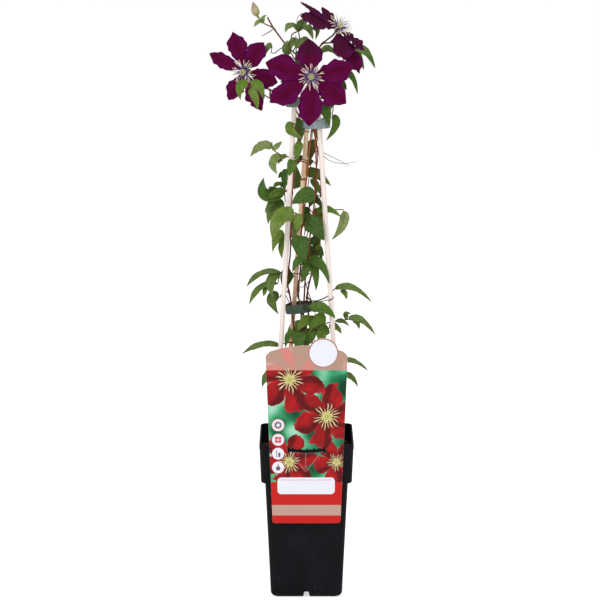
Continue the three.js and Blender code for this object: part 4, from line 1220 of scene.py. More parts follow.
@dataclass
class Pot:
    """The square nursery pot: a tapering body, a wide skirted rim and a notch under each side."""

    top: float = 120
    height: float = 206
    waist: float = 106
    foot: float = 92
    rounding: float = 8
    corner: float = 5
    wall: float = 2
    floor: float = 10
    skirt: float = 51
    notch_width: float = 12
    notch_top: float = 5.5
    notch_height: float = 8.4
    notch_depth: float = 26
    flare: float = 4

    def inside(self, z: float) -> float:
        """How wide the inside is at a height.

        Args:
            z: the height in millimetres.

        Returns:
            The width there.
        """
        skirt_foot = self.height - self.skirt
        if z > skirt_foot:
            return self.top - self.flare - 2 * self.wall + self.flare * (z - skirt_foot) / self.skirt
        return self.foot - 2 * self.wall + (self.waist - self.foot) * z / skirt_foot

    def build(self) -> Thing:
        """Builds the pot's shell: a square with round corners, drawn up outside and down inside.

        Returns:
            The pot.
        """
        start = self.foot - 2 * self.rounding
        deselect()
        bpy.ops.mesh.primitive_plane_add(size=start * MM)
        pot = added("nursery_pot")
        with editing(pot):
            bpy.ops.mesh.bevel(offset=self.corner * MM, segments=8, affect="VERTICES", offset_type="OFFSET")
        bend = [math.radians(angle) for angle in range(10, 91, 10)]
        skirt_foot, top, height = self.height - self.skirt, self.top, self.height
        draw_up(pot, start, 0, (
            *((start + 2 * self.rounding * math.sin(a), self.rounding * (1 - math.cos(a))) for a in bend),
            (self.waist - 0.4, skirt_foot - 2), (top - 7, skirt_foot - 0.6), (top - 5.2, skirt_foot),
            (top - 4.2, skirt_foot + 0.7), (top - 4, skirt_foot + 2), (top - 0.6, height - 8),
            (top + 0.2, height - 6.6), (top + 0.2, height - 1), (top - 0.3, height - 0.3),
            (top - 1.2, height), (top - 3, height), (top - 3.8, height - 0.4),
            (self.inside(skirt_foot + 6) - 0.2, skirt_foot + 6),
            (self.inside(skirt_foot + 4), skirt_foot + 4), (self.inside(skirt_foot) - 0.4, skirt_foot),
            (self.inside(self.floor) + 1, self.floor + 2), (self.inside(self.floor) - 2, self.floor)))
        self._cut_notches(outward(pot))
        apply_modifier(pot, "BEVEL", width=0.3 * MM, segments=2, limit_method="ANGLE",
                       angle_limit=math.radians(50))
        apply_modifier(smooth(pot, 35), "WEIGHTED_NORMAL", keep_sharp=True)
        return pot

    def _cut_notches(self, pot: Thing) -> None:
        """Cuts the four drainage notches, narrower at their top, out of the foot.

        Args:
            pot: the shell.
        """
        length = self.notch_depth + 10
        middle = self.foot / 2 - self.notch_depth + length / 2
        for quarter in range(4):
            deselect()
            bpy.ops.mesh.primitive_cube_add(size=MM, location=(0, -middle * MM, 0),
                                            scale=(self.notch_width, length, 2 * self.notch_height))
            cutter = added("notch_cutter")
            places = place_of(cutter)
            places[places[:, 2] > 0, 0] *= self.notch_top / self.notch_width
            move_points(cutter, places)
            with editing(cutter):
                bpy.ops.transform.rotate(value=quarter * math.pi / 2, orient_axis="Z",
                                         center_override=(0, 0, 0))
            apply_modifier(pot, "BOOLEAN", operation="DIFFERENCE", object=outward(cutter), solver="EXACT")
            bpy.data.objects.remove(cutter)

    def dressed(self) -> None:
        """Builds the pot and gives it its finish."""
        finish_piece(dress(self.build(), PotPlastic().material()), "pot", "pot")


@dataclass
class Soil:
    """The compost in the pot: an uneven crust with chips of bark on it."""

    pot: Pot
    top: float = 189
    dip: float = 5
    half: float = 57
    air: float = 0.3
    cells: int = 110
    chips: int = 330
    chip_sizes: Place = (1.2, 1.7, 2.6)
    chip_shares: Place = (0.55, 0.35, 0.1)

    def level(self, x: Rows, y: Rows) -> Rows:
        """The crust's height at places across the pot, in millimetres."""
        swell = self.top - self.dip * (x * x + y * y) / self.half**2
        return swell + 1.6 * np.sin(x / 7) * np.cos(y / 9) + 1.2 * np.sin((x + 2 * y) / 11)

    def build(self) -> Thing:
        """Builds the body of the compost under its crust.

        Returns:
            The compost.
        """
        rim = self.pot.inside(self.top - 15) / 2 - self.air
        deselect()
        bpy.ops.mesh.primitive_grid_add(x_subdivisions=self.cells, y_subdivisions=self.cells, size=2)
        soil = added("compost")
        x, y, _ = place_of(soil).T
        reach = rim * (1 - 0.045 * np.abs(x * y) ** 5)
        x, y = x * reach, y * reach
        rng = np.random.default_rng(11)
        lumps = sum(high * np.sin(x / wide + turn) * np.sin(y / wide + shift)
                    for high, wide, turn, shift in zip((0.8, 0.7, 0.5, 0.4), (3.1, 1.9, 1.3, 0.8),
                                                       rng.uniform(0, 6, 4), rng.uniform(0, 6, 4)))
        height = self.level(x, y) + lumps + rng.normal(0, 0.28, len(x))
        move_points(soil, np.column_stack([x, y, height]) * MM)
        self._close_below(soil, 2 * rim)
        return smooth(outward(soil), 180)

    def _close_below(self, soil: Thing, width: float) -> None:
        """Draws the crust's edge down inside the pot to its floor and closes it there.

        Args:
            soil: the crust.
            width: its width in millimetres.
        """
        skirt_foot = self.pot.height - self.pot.skirt
        with editing(soil):
            bpy.ops.mesh.select_mode(type="EDGE")
            bpy.ops.mesh.region_to_loop()
            for inside, high in ((self.pot.inside(skirt_foot + 4), skirt_foot + 4),
                                 (self.pot.inside(skirt_foot) - 0.4, skirt_foot),
                                 (self.pot.inside(self.pot.floor), self.pot.floor + self.air)):
                share = (inside - 2 * self.air) / width
                bpy.ops.mesh.extrude_region_move()
                bpy.ops.transform.resize(value=(share, share, 0), center_override=(0, 0, high * MM))
                width = inside - 2 * self.air
            bpy.ops.mesh.edge_face_add()

    def scatter(self) -> Thing:
        """Scatters chips of bark and crumbs over the crust, as one object.

        Returns:
            The chips.
        """
        rng = np.random.default_rng(23)
        deselect()
        bpy.ops.mesh.primitive_ico_sphere_add(subdivisions=1, radius=1)
        model = added("bark_chip")
        with editing(model):
            bpy.ops.mesh.subdivide(number_cuts=1, smoothness=0.4)
        start = place_of(model)
        reach = self.pot.inside(self.top - 15) / 2 - 2.5
        chips = []
        for _ in range(self.chips):
            chip = model.copy()
            chip.data = model.data.copy()
            bpy.context.collection.objects.link(chip)
            x, y = rng.uniform(-reach, reach, 2)
            size = rng.choice(self.chip_sizes, p=self.chip_shares) * rng.uniform(0.7, 1.2)
            shape = start * (1 + rng.normal(0, 0.16, (len(start), 1))) * rng.uniform(0.35, 1.1, 3)
            turn = np.array(Vector(rng.normal(0, 1, 3)).to_track_quat("Z", "Y").to_matrix())
            high = float(self.level(x, y)) + 0.35 * size
            move_points(chip, (shape @ turn.T * size + (x, y, high)) * MM)
            chips.append(chip)
        bpy.data.objects.remove(model)
        return smooth(joined(chips, "bark_chips"), 60)

    def dressed(self) -> None:
        """Builds the compost with its chips and gives both their finish."""
        finish_piece(dress(self.build(), Compost().material()), "soil", "soil")
        bark = Compost(dark=(52, 32, 20), light=(134, 96, 62))
        finish_piece(dress(self.scatter(), bark.material()), "soil")


# ---------- plant card ----------


def bend(start: Pair, pull: Pair, end: Pair, count: int) -> list[Pair]:
    """Points on a bend drawn towards a place, without its start."""
    return [tuple((1 - t) ** 2 * a + 2 * t * (1 - t) * b + t * t * c for a, b, c in zip(start, pull, end))
            for t in np.linspace(0, 1, count + 1)[1:]]


@dataclass
class PlantCard:
    """The printed card that hangs on the rim, with its round lobe, arched slot and bent tongue."""

    face: float = -61.6
    thick: float = 1
    foot: float = 104
    shoulder: float = 323
    crown: float = 335
    half_foot: float = 43
    half_top: float = 51.5
    corner: float = 4
    lobe: Place = (21, 325, 19)
    tongue_half: float = 17
    tongue_thick: float = 0.7
    round_edge: float = 0.15
    rim_back: float = -54

    def outline(self) -> list[Pair]:
        """Draws the card's edge, with the lobe standing out of its arched top.

        Returns:
            The edge as x and z.
        """
        foot, top, c, low, high = self.half_foot, self.half_top, self.corner, self.foot, self.shoulder
        edge = [(-foot + c, low), (foot - c, low)]
        edge += bend(edge[-1], (foot, low), (foot + 0.2, low + c), 8) + [(top, high - c)]
        edge += bend(edge[-1], (top, high), (top - 6, high + 4), 10)
        arch = bend((top - 6, high + 4), (0, self.crown + 7), (6 - top, high + 4), 90)
        x, z, radius = self.lobe
        inside = [math.hypot(px - x, pz - z) < radius for px, pz in arch]
        first, last = inside.index(True), len(inside) - 1 - inside[::-1].index(True)
        start, end = (math.atan2(arch[at][1] - z, arch[at][0] - x) for at in (first, last))
        edge += arch[:first]
        edge += [(x + radius * math.cos(t), z + radius * math.sin(t)) for t in np.linspace(start, end, 41)]
        edge += arch[last + 1:]
        edge += bend(edge[-1], (-top, high), (-top, high - c), 10) + [(-foot - 0.2, low + c)]
        return edge + bend(edge[-1], (-foot, low), (-foot + c, low), 8)[:-1]

    def slot(self) -> list[Pair]:
        """Draws the edge of the sagging slot, with its tall ends and the small nicks over it.

        Returns:
            The edge as x and z.
        """
        edge = [(-24.6, 204), (-22, 204), (-21.4, 202)]
        for x in (-17, -8, 1, 9.5, 17):
            z = 202 - 1.8 * (1 - (x / 21) ** 2)
            edge += [(x - 1.7, z), (x - 0.9, z + 1.5), (x + 0.9, z + 1.5), (x + 1.7, z)]
        edge += [(21.4, 202), (22, 204), (24.6, 204), (24.2, 195), (21.6, 195.4), (21.3, 197.4)]
        return edge + bend(edge[-1], (0, 193.6), (-21.3, 197.4), 24) + [(-21.6, 195.4), (-24.2, 195)]

    def sheet(self) -> Thing:
        """Cuts the flat card and stands it up.

        Returns:
            The card.
        """
        curve = new_curve()
        curve.dimensions = "2D"
        curve.fill_mode = "BOTH"
        curve.extrude = (self.thick / 2 - self.round_edge) * MM
        curve.bevel_depth = self.round_edge * MM
        curve.bevel_resolution = 1
        for edge in (self.outline(), self.slot()):
            spline = curve.splines.new("POLY")
            spline.points.add(len(edge) - 1)
            for point, (x, z) in zip(spline.points, edge):
                point.co = (x * MM, z * MM, 0, 1)
            spline.use_cyclic_u = True
        card = made_mesh("plant_card")
        x, z, deep = place_of(card).T
        move_points(card, np.column_stack([x, (self.face + self.thick / 2) * MM - deep, z]))
        return outward(card)

    def tongue(self) -> Thing:
        """Bends the tongue back over the rim and down inside it.

        Returns:
            The tongue.
        """
        front, back = self.face, self.rim_back
        path = np.array([(front + 0.6, 205.2), (front + 1.0, 206.4), (front + 2.2, 206.85),
                         (back - 1.8, 206.85), (back - 0.6, 206.4), (back - 0.4, 205), (back - 0.5, 200),
                         (back - 0.6, 195.4)])
        steps = len(path) - 1
        deselect()
        bpy.ops.mesh.primitive_grid_add(x_subdivisions=12, y_subdivisions=steps, size=2)
        tongue = added("card_tongue")
        x, y, _ = place_of(tongue).T
        row = np.rint((y + 1) / 2 * steps).astype(int)
        narrow = self.tongue_half * (1 - 0.12 * (row / steps) ** 2)
        move_points(tongue, np.column_stack([x * narrow, path[row]]) * MM)
        apply_modifier(tongue, "SOLIDIFY", thickness=self.tongue_thick * MM, offset=0)
        return smooth(outward(tongue), 30)

    def dressed(self) -> None:
        """Builds the card and gives it its print and its white back."""
        back = CardBack().material()
        sheet, tongue = dress(self.sheet(), CardPrint().material(), back), dress(self.tongue(), back)
        for polygon in sheet.data.polygons:
            polygon.material_index = 0 if polygon.normal.y < -0.7 else 1
        finish_piece(joined([sheet, tongue], "plant_card"), "label", "label")


# ---------- canes, clips and ties ----------


@dataclass(frozen=True)
class Support:
    """One straight support: a place low and high on its axis, and its radius."""

    foot: Place
    head: Place
    radius: float

    def crossing(self, z: float) -> Rows:
        """The place where its axis crosses a height, in millimetres."""
        foot, head = np.array(self.foot, float), np.array(self.head, float)
        return foot + (z - foot[2]) / (head[2] - foot[2]) * (head - foot)

    def way(self) -> Vector:
        """The direction that it points up in."""
        return (Vector(self.head) - Vector(self.foot)).normalized()

    def upright(self) -> Place:
        """The angles that stand it upright again."""
        return tuple(Vector((0, 0, 1)).rotation_difference(self.way()).inverted().to_euler())


DOWELS = {"dowel_left": Support((-39, -16, 215), (-13, -4, 672), 3.2),
          "dowel_right": Support((42, -15, 215), (11, -3, 684), 3.2)}
CANE = Support((-28, 16, 207), (5, 0, 665), 3)


@dataclass
class Canes:
    """Two planed dowels and a bamboo cane that lean together over the pot."""

    bottom: float = 150
    knuckle: float = 0.7
    knuckles: Pair = (186, 386)
    scar: float = 1.7

    def _stand(self, name: str, support: Support, profile: Sequence[Pair], depth: float, seed: int) -> Thing:
        """Turns a rod, makes its section slightly uneven and stands it on its support's axis.

        Args:
            name: the rod's name.
            support: its axis.
            profile: the radius and height of each ring.
            depth: how uneven it gets.
            seed: what sets its unevenness.

        Returns:
            The rod.
        """
        rod = turned(name, profile, 28)
        places = place_of(rod) / MM
        rng = np.random.default_rng(seed)
        turn = np.arctan2(places[:, 1], places[:, 0])
        swell = sum(depth * np.sin(n * turn + places[:, 2] / wide + start) for n, wide, start in
                    zip((2, 3, 5), (37, 23, 61), rng.uniform(0, 6, 3)))
        out = np.hypot(places[:, 0], places[:, 1])
        places[:, :2] *= (1 + np.where(out > 1.5, swell / np.maximum(out, 1), 0))[:, None]
        move_points(rod, places * MM)
        return stand_along(rod, metres(support.crossing(self.bottom)), support.way(), 40)

    def _length(self, support: Support) -> float:
        """A support's length from its foot in the compost to its head."""
        return float(np.linalg.norm(np.array(support.head) - support.crossing(self.bottom)))

    def dowel(self, name: str) -> Thing:
        """Turns one dowel with a softly rounded top.

        Args:
            name: which one.

        Returns:
            The dowel.
        """
        support = DOWELS[name]
        length, radius = self._length(support), support.radius
        profile = [(radius, length * i / 60) for i in range(60)]
        profile += [(radius, length - 0.8), (radius - 0.15, length - 0.35), (radius - 0.5, length - 0.08),
                    (radius - 1.0, length), (0.4, length)]
        return self._stand(name + "_rod", support, profile, 0.05, len(name))

    def bamboo(self) -> Thing:
        """Turns the bamboo cane with its swollen knuckles and the scar ring above each.

        Returns:
            The cane.
        """
        length, radius = self._length(CANE), CANE.radius - 0.12
        heights = np.unique(np.concatenate([np.linspace(0, length, 90), *(
            at + np.linspace(-9, 7, 33) for at in self.knuckles)]))
        heights = heights[heights <= length]
        swell = sum(self.knuckle * np.exp(-((heights - at) / 2.1) ** 2)
                    - 0.45 * np.exp(-((heights - at - self.scar) / 0.5) ** 2) for at in self.knuckles)
        profile = [*zip((radius + swell).tolist(), heights.tolist()),
                   (radius - 0.78, length + 0.02), (radius - 0.88, length - 3)]
        return self._stand("bamboo_cane", CANE, profile, 0.07, 5)

    def dressed(self) -> None:
        """Builds the three supports and gives each its finish."""
        for name, support in DOWELS.items():
            wood = PaleWood().material(f"{name}_wood", support.upright())
            finish_piece(dress(self.dowel(name), wood), "dowels", name)
        scars = [(CANE.crossing(self.bottom)[2] + at * CANE.way().z + self.scar) * MM for at in self.knuckles]
        finish_piece(dress(self.bamboo(), Bamboo().material(CANE.upright(), scars)), "cane", "cane")


@dataclass
class Clip:
    """A flat oval band of soft plastic round the canes, folded and pinched where it closes."""

    name: str
    centre: Place
    reach: Pair
    tilt: float
    finish: ClipPlastic
    folds: tuple[float, ...]
    wall: float = 1.3
    height: float = 11.5
    rows: int = 8

    def build(self) -> Thing:
        """Builds the band from a ring that is drawn up, creased and thickened.

        Returns:
            The band.
        """
        deselect()
        bpy.ops.mesh.primitive_circle_add(vertices=96, radius=1, location=(0, 0, -self.height / 2))
        band = added(f"{self.name}_band")
        with editing(band):
            for _ in range(self.rows):
                bpy.ops.mesh.extrude_region_move(
                    TRANSFORM_OT_translate={"value": (0, 0, self.height / self.rows)})
        places = place_of(band)
        turn = np.arctan2(places[:, 1], places[:, 0])
        level = places[:, 2] / (self.height / 2)
        swell = 0.2 * (1 - level**2) + 0.12 * np.sin(3 * turn + 2 * level)
        for fold in self.folds:
            off = self.reach[0] * ((turn - fold + np.pi) % (2 * np.pi) - np.pi)
            swell += 0.35 * np.exp(-(off / 2.2) ** 2) - 0.75 * np.exp(-(off / 0.7) ** 2)
        places[:, :2] *= np.array(self.reach) - self.wall / 2 + swell[:, None]
        places[:, 2] += 0.25 * np.sin(2 * turn + len(self.name))
        move_points(band, places)
        apply_modifier(band, "SOLIDIFY", thickness=self.wall, offset=0, use_even_offset=True)
        apply_modifier(outward(band), "BEVEL", width=0.3, segments=2, limit_method="ANGLE",
                       angle_limit=math.radians(50))
        lean = np.array([[math.cos(self.tilt), 0, math.sin(self.tilt)], [0, 1, 0],
                         [-math.sin(self.tilt), 0, math.cos(self.tilt)]])
        move_points(band, (place_of(band) @ lean.T + self.centre) * MM)
        return smooth(band, 40)

    def dressed(self) -> None:
        """Builds the band and gives it its finish."""
        finish_piece(dress(self.build(), self.finish.material()), "rings", self.name)


CLIPS = (
    Clip("ring_crown", (-14.5, -2, 635), (11.5, 10.5), 0,
         ClipPlastic("clip_grey_green", (96, 106, 96), (132, 140, 130)), (-1.9, -1.2, 0.6, 2.6)),
    Clip("ring_top", (12.5, -0.5, 608), (17.5, 13), 0,
         ClipPlastic("clip_blue_grey", (128, 144, 150), (176, 188, 192), 0.28), (-2.3, -1.45, -0.7, 1.6)),
    Clip("ring_middle", (-9.5, 4, 371), (17.5, 14.5), -0.12,
         ClipPlastic("clip_dark_green", (46, 66, 52), (82, 100, 86), 0.36), (-1.75, -1.1, 0.9, 2.4)))


@dataclass
class WireTies:
    """Short ties of covered wire, twisted shut round the cane."""

    heights: tuple[tuple[str, float], ...] = (("tie_top", 597), ("tie_upper", 561), ("tie_lower", 414))
    wire: float = 0.45
    gap: float = 0.55
    tail: float = 3.6

    def build(self, name: str, height: float) -> Thing:
        """Winds one tie: a loop round the cane and two twisted tails.

        Args:
            name: the tie's name.
            height: where it is on the cane.

        Returns:
            The tie.
        """
        axis, middle = np.array(CANE.way()), CANE.crossing(height)
        right = unit(np.cross((0, 1, 0), axis))
        front = np.cross(axis, right)
        radius = CANE.radius + self.gap + self.wire / 2
        tubes = Tubes(self.wire, 2)
        turns = np.linspace(-0.5 * math.pi, 1.5 * math.pi, 40)
        loop = (middle + radius * (np.outer(np.cos(turns), right) - np.outer(np.sin(turns), front))
                + np.outer(np.linspace(0, 0.9, 40), axis))
        twist = np.linspace(0, 1, 26)
        out = unit(loop[0] - middle)
        run = middle + np.outer(radius + 0.3 + twist * self.tail, out) + np.outer(-1.5 * twist**2, axis)
        for half, end in ((0, 0), (math.pi, -1)):
            spin = twist * 3.4 * math.pi + half
            tail = run + 0.42 * (np.outer(np.cos(spin), right) + np.outer(np.sin(spin), axis))
            tail[0] = loop[end]
            tubes.add(tail)
        tubes.add(loop)
        return tubes.mesh(f"{name}_wire")

    def dressed(self) -> None:
        """Winds all the ties and gives them their finish."""
        finish = TieWire().material()
        for name, height in self.heights:
            finish_piece(dress(self.build(name, height), finish), "wire", name)


# ---------- where the flowers stand ----------


@dataclass(frozen=True)
class Tepal:
    """One tepal: its tip, its greatest width and, where it differs, the way that it looks."""

    tip: Place
    width: float
    face: Place | None = None
    wave: float = 1.8


@dataclass(frozen=True)
class Stand:
    """Where a flower's face is, the way it looks, and its tepals."""

    centre: Place
    face: Place
    tepals: tuple[Tepal, ...]

    def out(self) -> Rows:
        """The direction that the flower looks in, one long."""
        return unit(np.array(self.face, float))

    def behind(self, distance: float) -> Place:
        """A place behind the flower's middle, where its stalk runs in."""
        return tuple(np.array(self.centre) - distance * self.out())

    def sides(self) -> tuple[Rows, Rows]:
        """Two directions across the flower's face, to its right and up."""
        right = unit(np.cross((0, 0, 1), self.out()))
        return right, np.cross(self.out(), right)


LEFT = Stand((-76, -16, 675), (-0.35, -0.93, -0.08), (
    Tepal((-92, -17, 724), 26), Tepal((-53, -31, 712), 25), Tepal((-36, -33, 662), 26),
    Tepal((-56, -23, 626), 24), Tepal((-98, -9, 638), 22), Tepal((-122, -4, 696), 19)))
MIDDLE = Stand((5, -40, 670), (0.05, -1, 0.08), (
    Tepal((2, -39, 717), 32), Tepal((58, -40, 682), 31), Tepal((49, -43, 637), 29),
    Tepal((3, -48, 609), 31), Tepal((-46, -48, 639), 29), Tepal((-51, -44, 688), 31)))
RIGHT = Stand((38, -8, 726), (0.45, -0.62, 0.64), (
    Tepal((-8, -4, 760), 22, (0.585, -0.24, 0.77), 0.4), Tepal((-8, -23, 744), 28),
    Tepal((19, 12, 753), 16, wave=0.8), Tepal((46, -36, 690), 33), Tepal((66, -20, 672), 26),
    Tepal((72, -10, 700), 24, (0.56, -0.45, 0.7))))
CUP_DEPTH, CUP_FACE = 2.5, 1.4
GOLDEN_TURN = 2.39996
STALK_END = CUP_DEPTH + 0.3


# ---------- vines ----------


VINES = {
    "centre": [
        (-4, 4, 186), (-7, 2, 300), (-7, 2, 364), (-10, 2, 385), (-8, 3, 420), (-6, 1, 478), (-2, -1, 520),
        (2, -4, 560), (5, -6, 590), (7, -6, 618), (9, -13, 642), MIDDLE.behind(14), MIDDLE.behind(STALK_END)],
    "right": [
        (4, 0, 186), (0, 0, 300), (-4, 0, 360), (-2, 0, 400), (3, 1, 450), (9, 2, 500), (12, 3, 535),
        (12, 2, 565), (11, -1, 600), (14, 3, 640), (14, 4, 688), (17, 7, 704), RIGHT.behind(12),
        RIGHT.behind(STALK_END)],
    "back": [
        (8, 8, 186), (8, 9, 300), (5, 9, 350), (1, 9, 372), (1, 9, 390), (15, 10, 445), (21, 9, 510),
        (19, 8, 548), (11, 7, 590), (9, 7, 610), (4, 9, 643), (-8, 2, 687), (-25, -2, 706), (-41, -3, 727),
        (-49, -3, 741)],
    "left": [
        (-10, -2, 186), (-13, -2, 300), (-17, -4, 355), (-20, -4, 380), (-24, 0, 402), (-21, 0, 440),
        (-19, 1, 510), (-13, 2, 561), (-10, 4, 593), (-11, 12, 618), (-27, 10, 640), (-42, 2, 648),
        (-52, -2, 654), LEFT.behind(12), LEFT.behind(STALK_END)],
}


def on_vine(name: str, z: float) -> Rows:
    """Finds where a vine's middle line crosses a height.

    Args:
        name: the vine's key.
        z: the height in millimetres.

    Returns:
        The place.
    """
    line = through(VINES[name], 240)
    after = int(np.argmax(line[:, 2] > z))
    low, high = line[after - 1], line[after]
    return low + (z - low[2]) / (high[2] - low[2]) * (high - low)


@dataclass
class Vines:
    """Four thin climbing stems with a knuckle wherever a spray of leaves leaves them."""

    radius: float = 1.15
    below: float = 40
    knuckle: float = 0.5

    def build(self, name: str, places: Sequence[Place], knuckles: Iterable[float]) -> Thing:
        """Draws one stem from the compost to its flower.

        Args:
            name: the vine's name.
            places: what it runs through.
            knuckles: the heights of its knuckles.

        Returns:
            The stem.
        """
        foot = np.array(places[0], float) - (0, 0, self.below)
        line = np.vstack([foot, through(places, 330)])
        rows = np.arange(len(line))
        share = 1.02 - 0.14 * np.linspace(0, 1, len(line)) + 0.05 * np.sin(
            31 * np.linspace(0, 1, len(line)) + len(name))
        for height in knuckles:
            at = int(np.argmin(np.abs(line[:, 2] - height)))
            share += self.knuckle * np.exp(-((rows - at) / 1.3) ** 2)
        share += 0.35 * np.exp(-rows[::-1] / 3.0) * (name != "vine_back")
        sway = 0.25 * np.sin(np.outer(line[:, 2], (0.11, 0.09, 0.0)) + len(name)) * (1, 1, 0)
        sway[-12:] = 0
        tubes = Tubes(self.radius, 4)
        tubes.add(line + sway, share)
        return tubes.mesh(f"{name}_stem")

    def dressed(self) -> None:
        """Builds the four stems and gives them their finish."""
        finish = StemSkin("stem_skin", (184, 84, 56), (150, 104, 66), 0.56).material()
        for side, places in VINES.items():
            knuckles = [spray.height for spray in SPRAYS if spray.vine == side]
            stem = self.build(f"vine_{side}", places, knuckles)
            finish_piece(dress(stem, finish), "vines", f"vine_{side}")


# ---------- blades ----------


class Form(Enum):
    """The outlines a blade can have: where it starts, how it widens and narrows, where its edge waves."""

    OVATE = (0.04, 0.42, 0.95, (0, 0.12, 0.35, 0.66, 1))
    HEART = (0.04, 0.32, 0.85, (0, 0.1, 0.3, 0.62, 1))
    LANCE = (0.0, 0.55, 0.9, (0, 0.16, 0.45, 0.75, 1))
    TEPAL = (0.0, 1.5, 1.06, (0, 0.16, 0.34, 0.55, 0.78, 1))

    def along(self, t: Rows) -> Rows:
        """How far along the widened part of a blade places on its rib are, from 0 to 1."""
        neck = self.value[0]
        return np.clip((t - neck) / (1 - neck), 0, 1)

    def widths(self, t: Rows) -> Rows:
        """How wide a blade is at places along its rib.

        Args:
            t: from 0 at the foot of the rib to 1 at its tip.

        Returns:
            A share of its greatest width for each.
        """
        _, rise, fall, _ = self.value
        along, peak_at = self.along(t), rise / (rise + fall)
        return along**rise * (1 - along) ** fall / (peak_at**rise * (1 - peak_at) ** fall)

    def swing(self, t: Rows) -> Rows:
        """How high the edge's wave is at places along the rib, from -1 to 1."""
        stations = self.value[3]
        return -np.cos(np.pi * np.interp(t, stations, range(len(stations))))


class Look(Enum):
    """The ways that a leaf's upper side looks."""

    FRONT = (0, -1, 0.35)
    UPWARD = (0, -0.6, 1)
    LEFTISH = (-0.5, -0.9, 0.5)
    RIGHTISH = (0.5, -0.9, 0.5)
    REAR = (0, 1, 0.4)


class Age(Enum):
    """How old a spray's leaves are, from dark to pale."""

    OLD = 0.0
    FULL = 0.36
    YOUNG = 0.7
    NEW = 1.0


BLADE_THICK = 0.5
OVATE, HEART, LANCE, TEPAL = Form
FRONT, UPWARD, LEFTISH, RIGHTISH, REAR = (look.value for look in Look)
OLD, FULL, YOUNG, NEW = Age


@dataclass(frozen=True)
class Blade:
    """One arched blade, folded along its mid-rib, waved and crimped at its edges and grooved over its veins.

    Its crest is the place halfway along its rib, its face is the way that its upper side looks, and its fold
    and ragged outline are shares of its width.
    """

    base: Place | int
    crest: Place
    tip: Place
    width: float
    face: Place
    form: Form = OVATE
    age: Age = FULL
    fold: float = 0.26
    wave: float = 0.7
    crimp: float = 0.25
    grooves: float = 0.08
    ragged: float = 0.03
    seed: int = 0

    def rib(self, t: Rows) -> tuple[Rows, Rows, Rows]:
        """Follows the mid-rib.

        Args:
            t: from 0 at the foot of the rib to 1 at its tip.

        Returns:
            The places in millimetres, and the directions ahead and to the side there.
        """
        base, crest, tip = (np.array(p, float) for p in (self.base, self.crest, self.tip))
        pull = 2 * crest - 0.5 * base - 0.5 * tip
        t = t[:, None]
        ahead = unit(2 * (1 - t) * (pull - base) + 2 * t * (tip - pull))
        places = (1 - t) ** 2 * base + 2 * t * (1 - t) * pull + t**2 * tip
        return places, ahead, unit(np.cross(ahead, self.face))

    @staticmethod
    def _rag(t: Rows, rng: np.random.Generator) -> Rows:
        """Uneven waves along one edge, about one high.

        Args:
            t: from 0 at the foot of the rib to 1 at its tip.
            rng: what makes them uneven.

        Returns:
            Their heights.
        """
        knots = rng.normal(0, 1, 11)
        knots[[0, -1]] = 0
        low = np.minimum((t * 10).astype(int), 9)
        part = t * 10 - low
        part = part * part * (3 - 2 * part)
        return knots[low] * (1 - part) + knots[low + 1] * part

    def surface(self, across: Rows, t: Rows) -> Rows:
        """Maps places on a flat blank onto the blade.

        Args:
            across: from -1 at the left edge to 1 at the right one.
            t: from 0 at the foot to 1 at the tip.

        Returns:
            The places on the blade, in millimetres.
        """
        rng = np.random.default_rng(self.seed)
        middle, ahead, side = self.rib(t)
        far, right = np.abs(across), across > 0
        least = np.interp(t, (0, 0.06, 0.9, 1), (0.55, 0.5, 0.3, 0.12))
        half = np.maximum(self.width / 2 * self.form.widths(t), least)
        share = np.minimum(1, half / 4) * np.minimum(1, 2 * self.form.along(t))
        start = rng.uniform(0, 6, 4)
        length = np.linalg.norm(np.subtract(self.tip, self.base))
        turns = 2 * np.pi * length / rng.uniform(5.5, 7.5) * t
        fine = np.where(right, np.sin(turns + start[0]), np.sin(0.87 * turns + start[1]))
        lift = half * self.fold * (np.sqrt(across**2 + 0.012) - 0.11)
        lift += share * (self.form.swing(t) * self.wave * across * far + self.crimp * fine * far**2.5
                         + 0.35 * np.sin(2.2 * np.pi * t + start[2]) * (1 - across**2))
        for line, depth in ((0.0, 1.6), (0.4, 0.8), (0.76, 0.6)):
            lift -= self.grooves * depth * share * np.exp(-((far - line) / 0.055) ** 2)
        lift += self.grooves * 0.9 * share * np.cos(2 * np.pi * (t * length / 3.4 - far * 0.8)) * (
            1 - far) * np.minimum(1, 4 * far)
        edge = 1 + self.ragged * np.where(right, self._rag(t, rng), self._rag(t, rng))
        return middle + side * (across * half * edge)[:, None] + np.cross(side, ahead) * lift[:, None]


@cache
def blank(across: int, along: int) -> bpy.types.Mesh:
    """Draws a flat blank with a map over it, once for each number of cells.

    Args:
        across: how many cells it has over its width.
        along: how many over its length.

    Returns:
        Its mesh.
    """
    deselect()
    bpy.ops.mesh.primitive_grid_add(x_subdivisions=across, y_subdivisions=along, size=2, calc_uvs=True)
    mesh = bpy.context.object.data
    mesh.name = f"blade_blank_{across}_{along}"
    mesh.uv_layers[0].name = "UVMap"
    bpy.data.objects.remove(bpy.context.object)
    return mesh


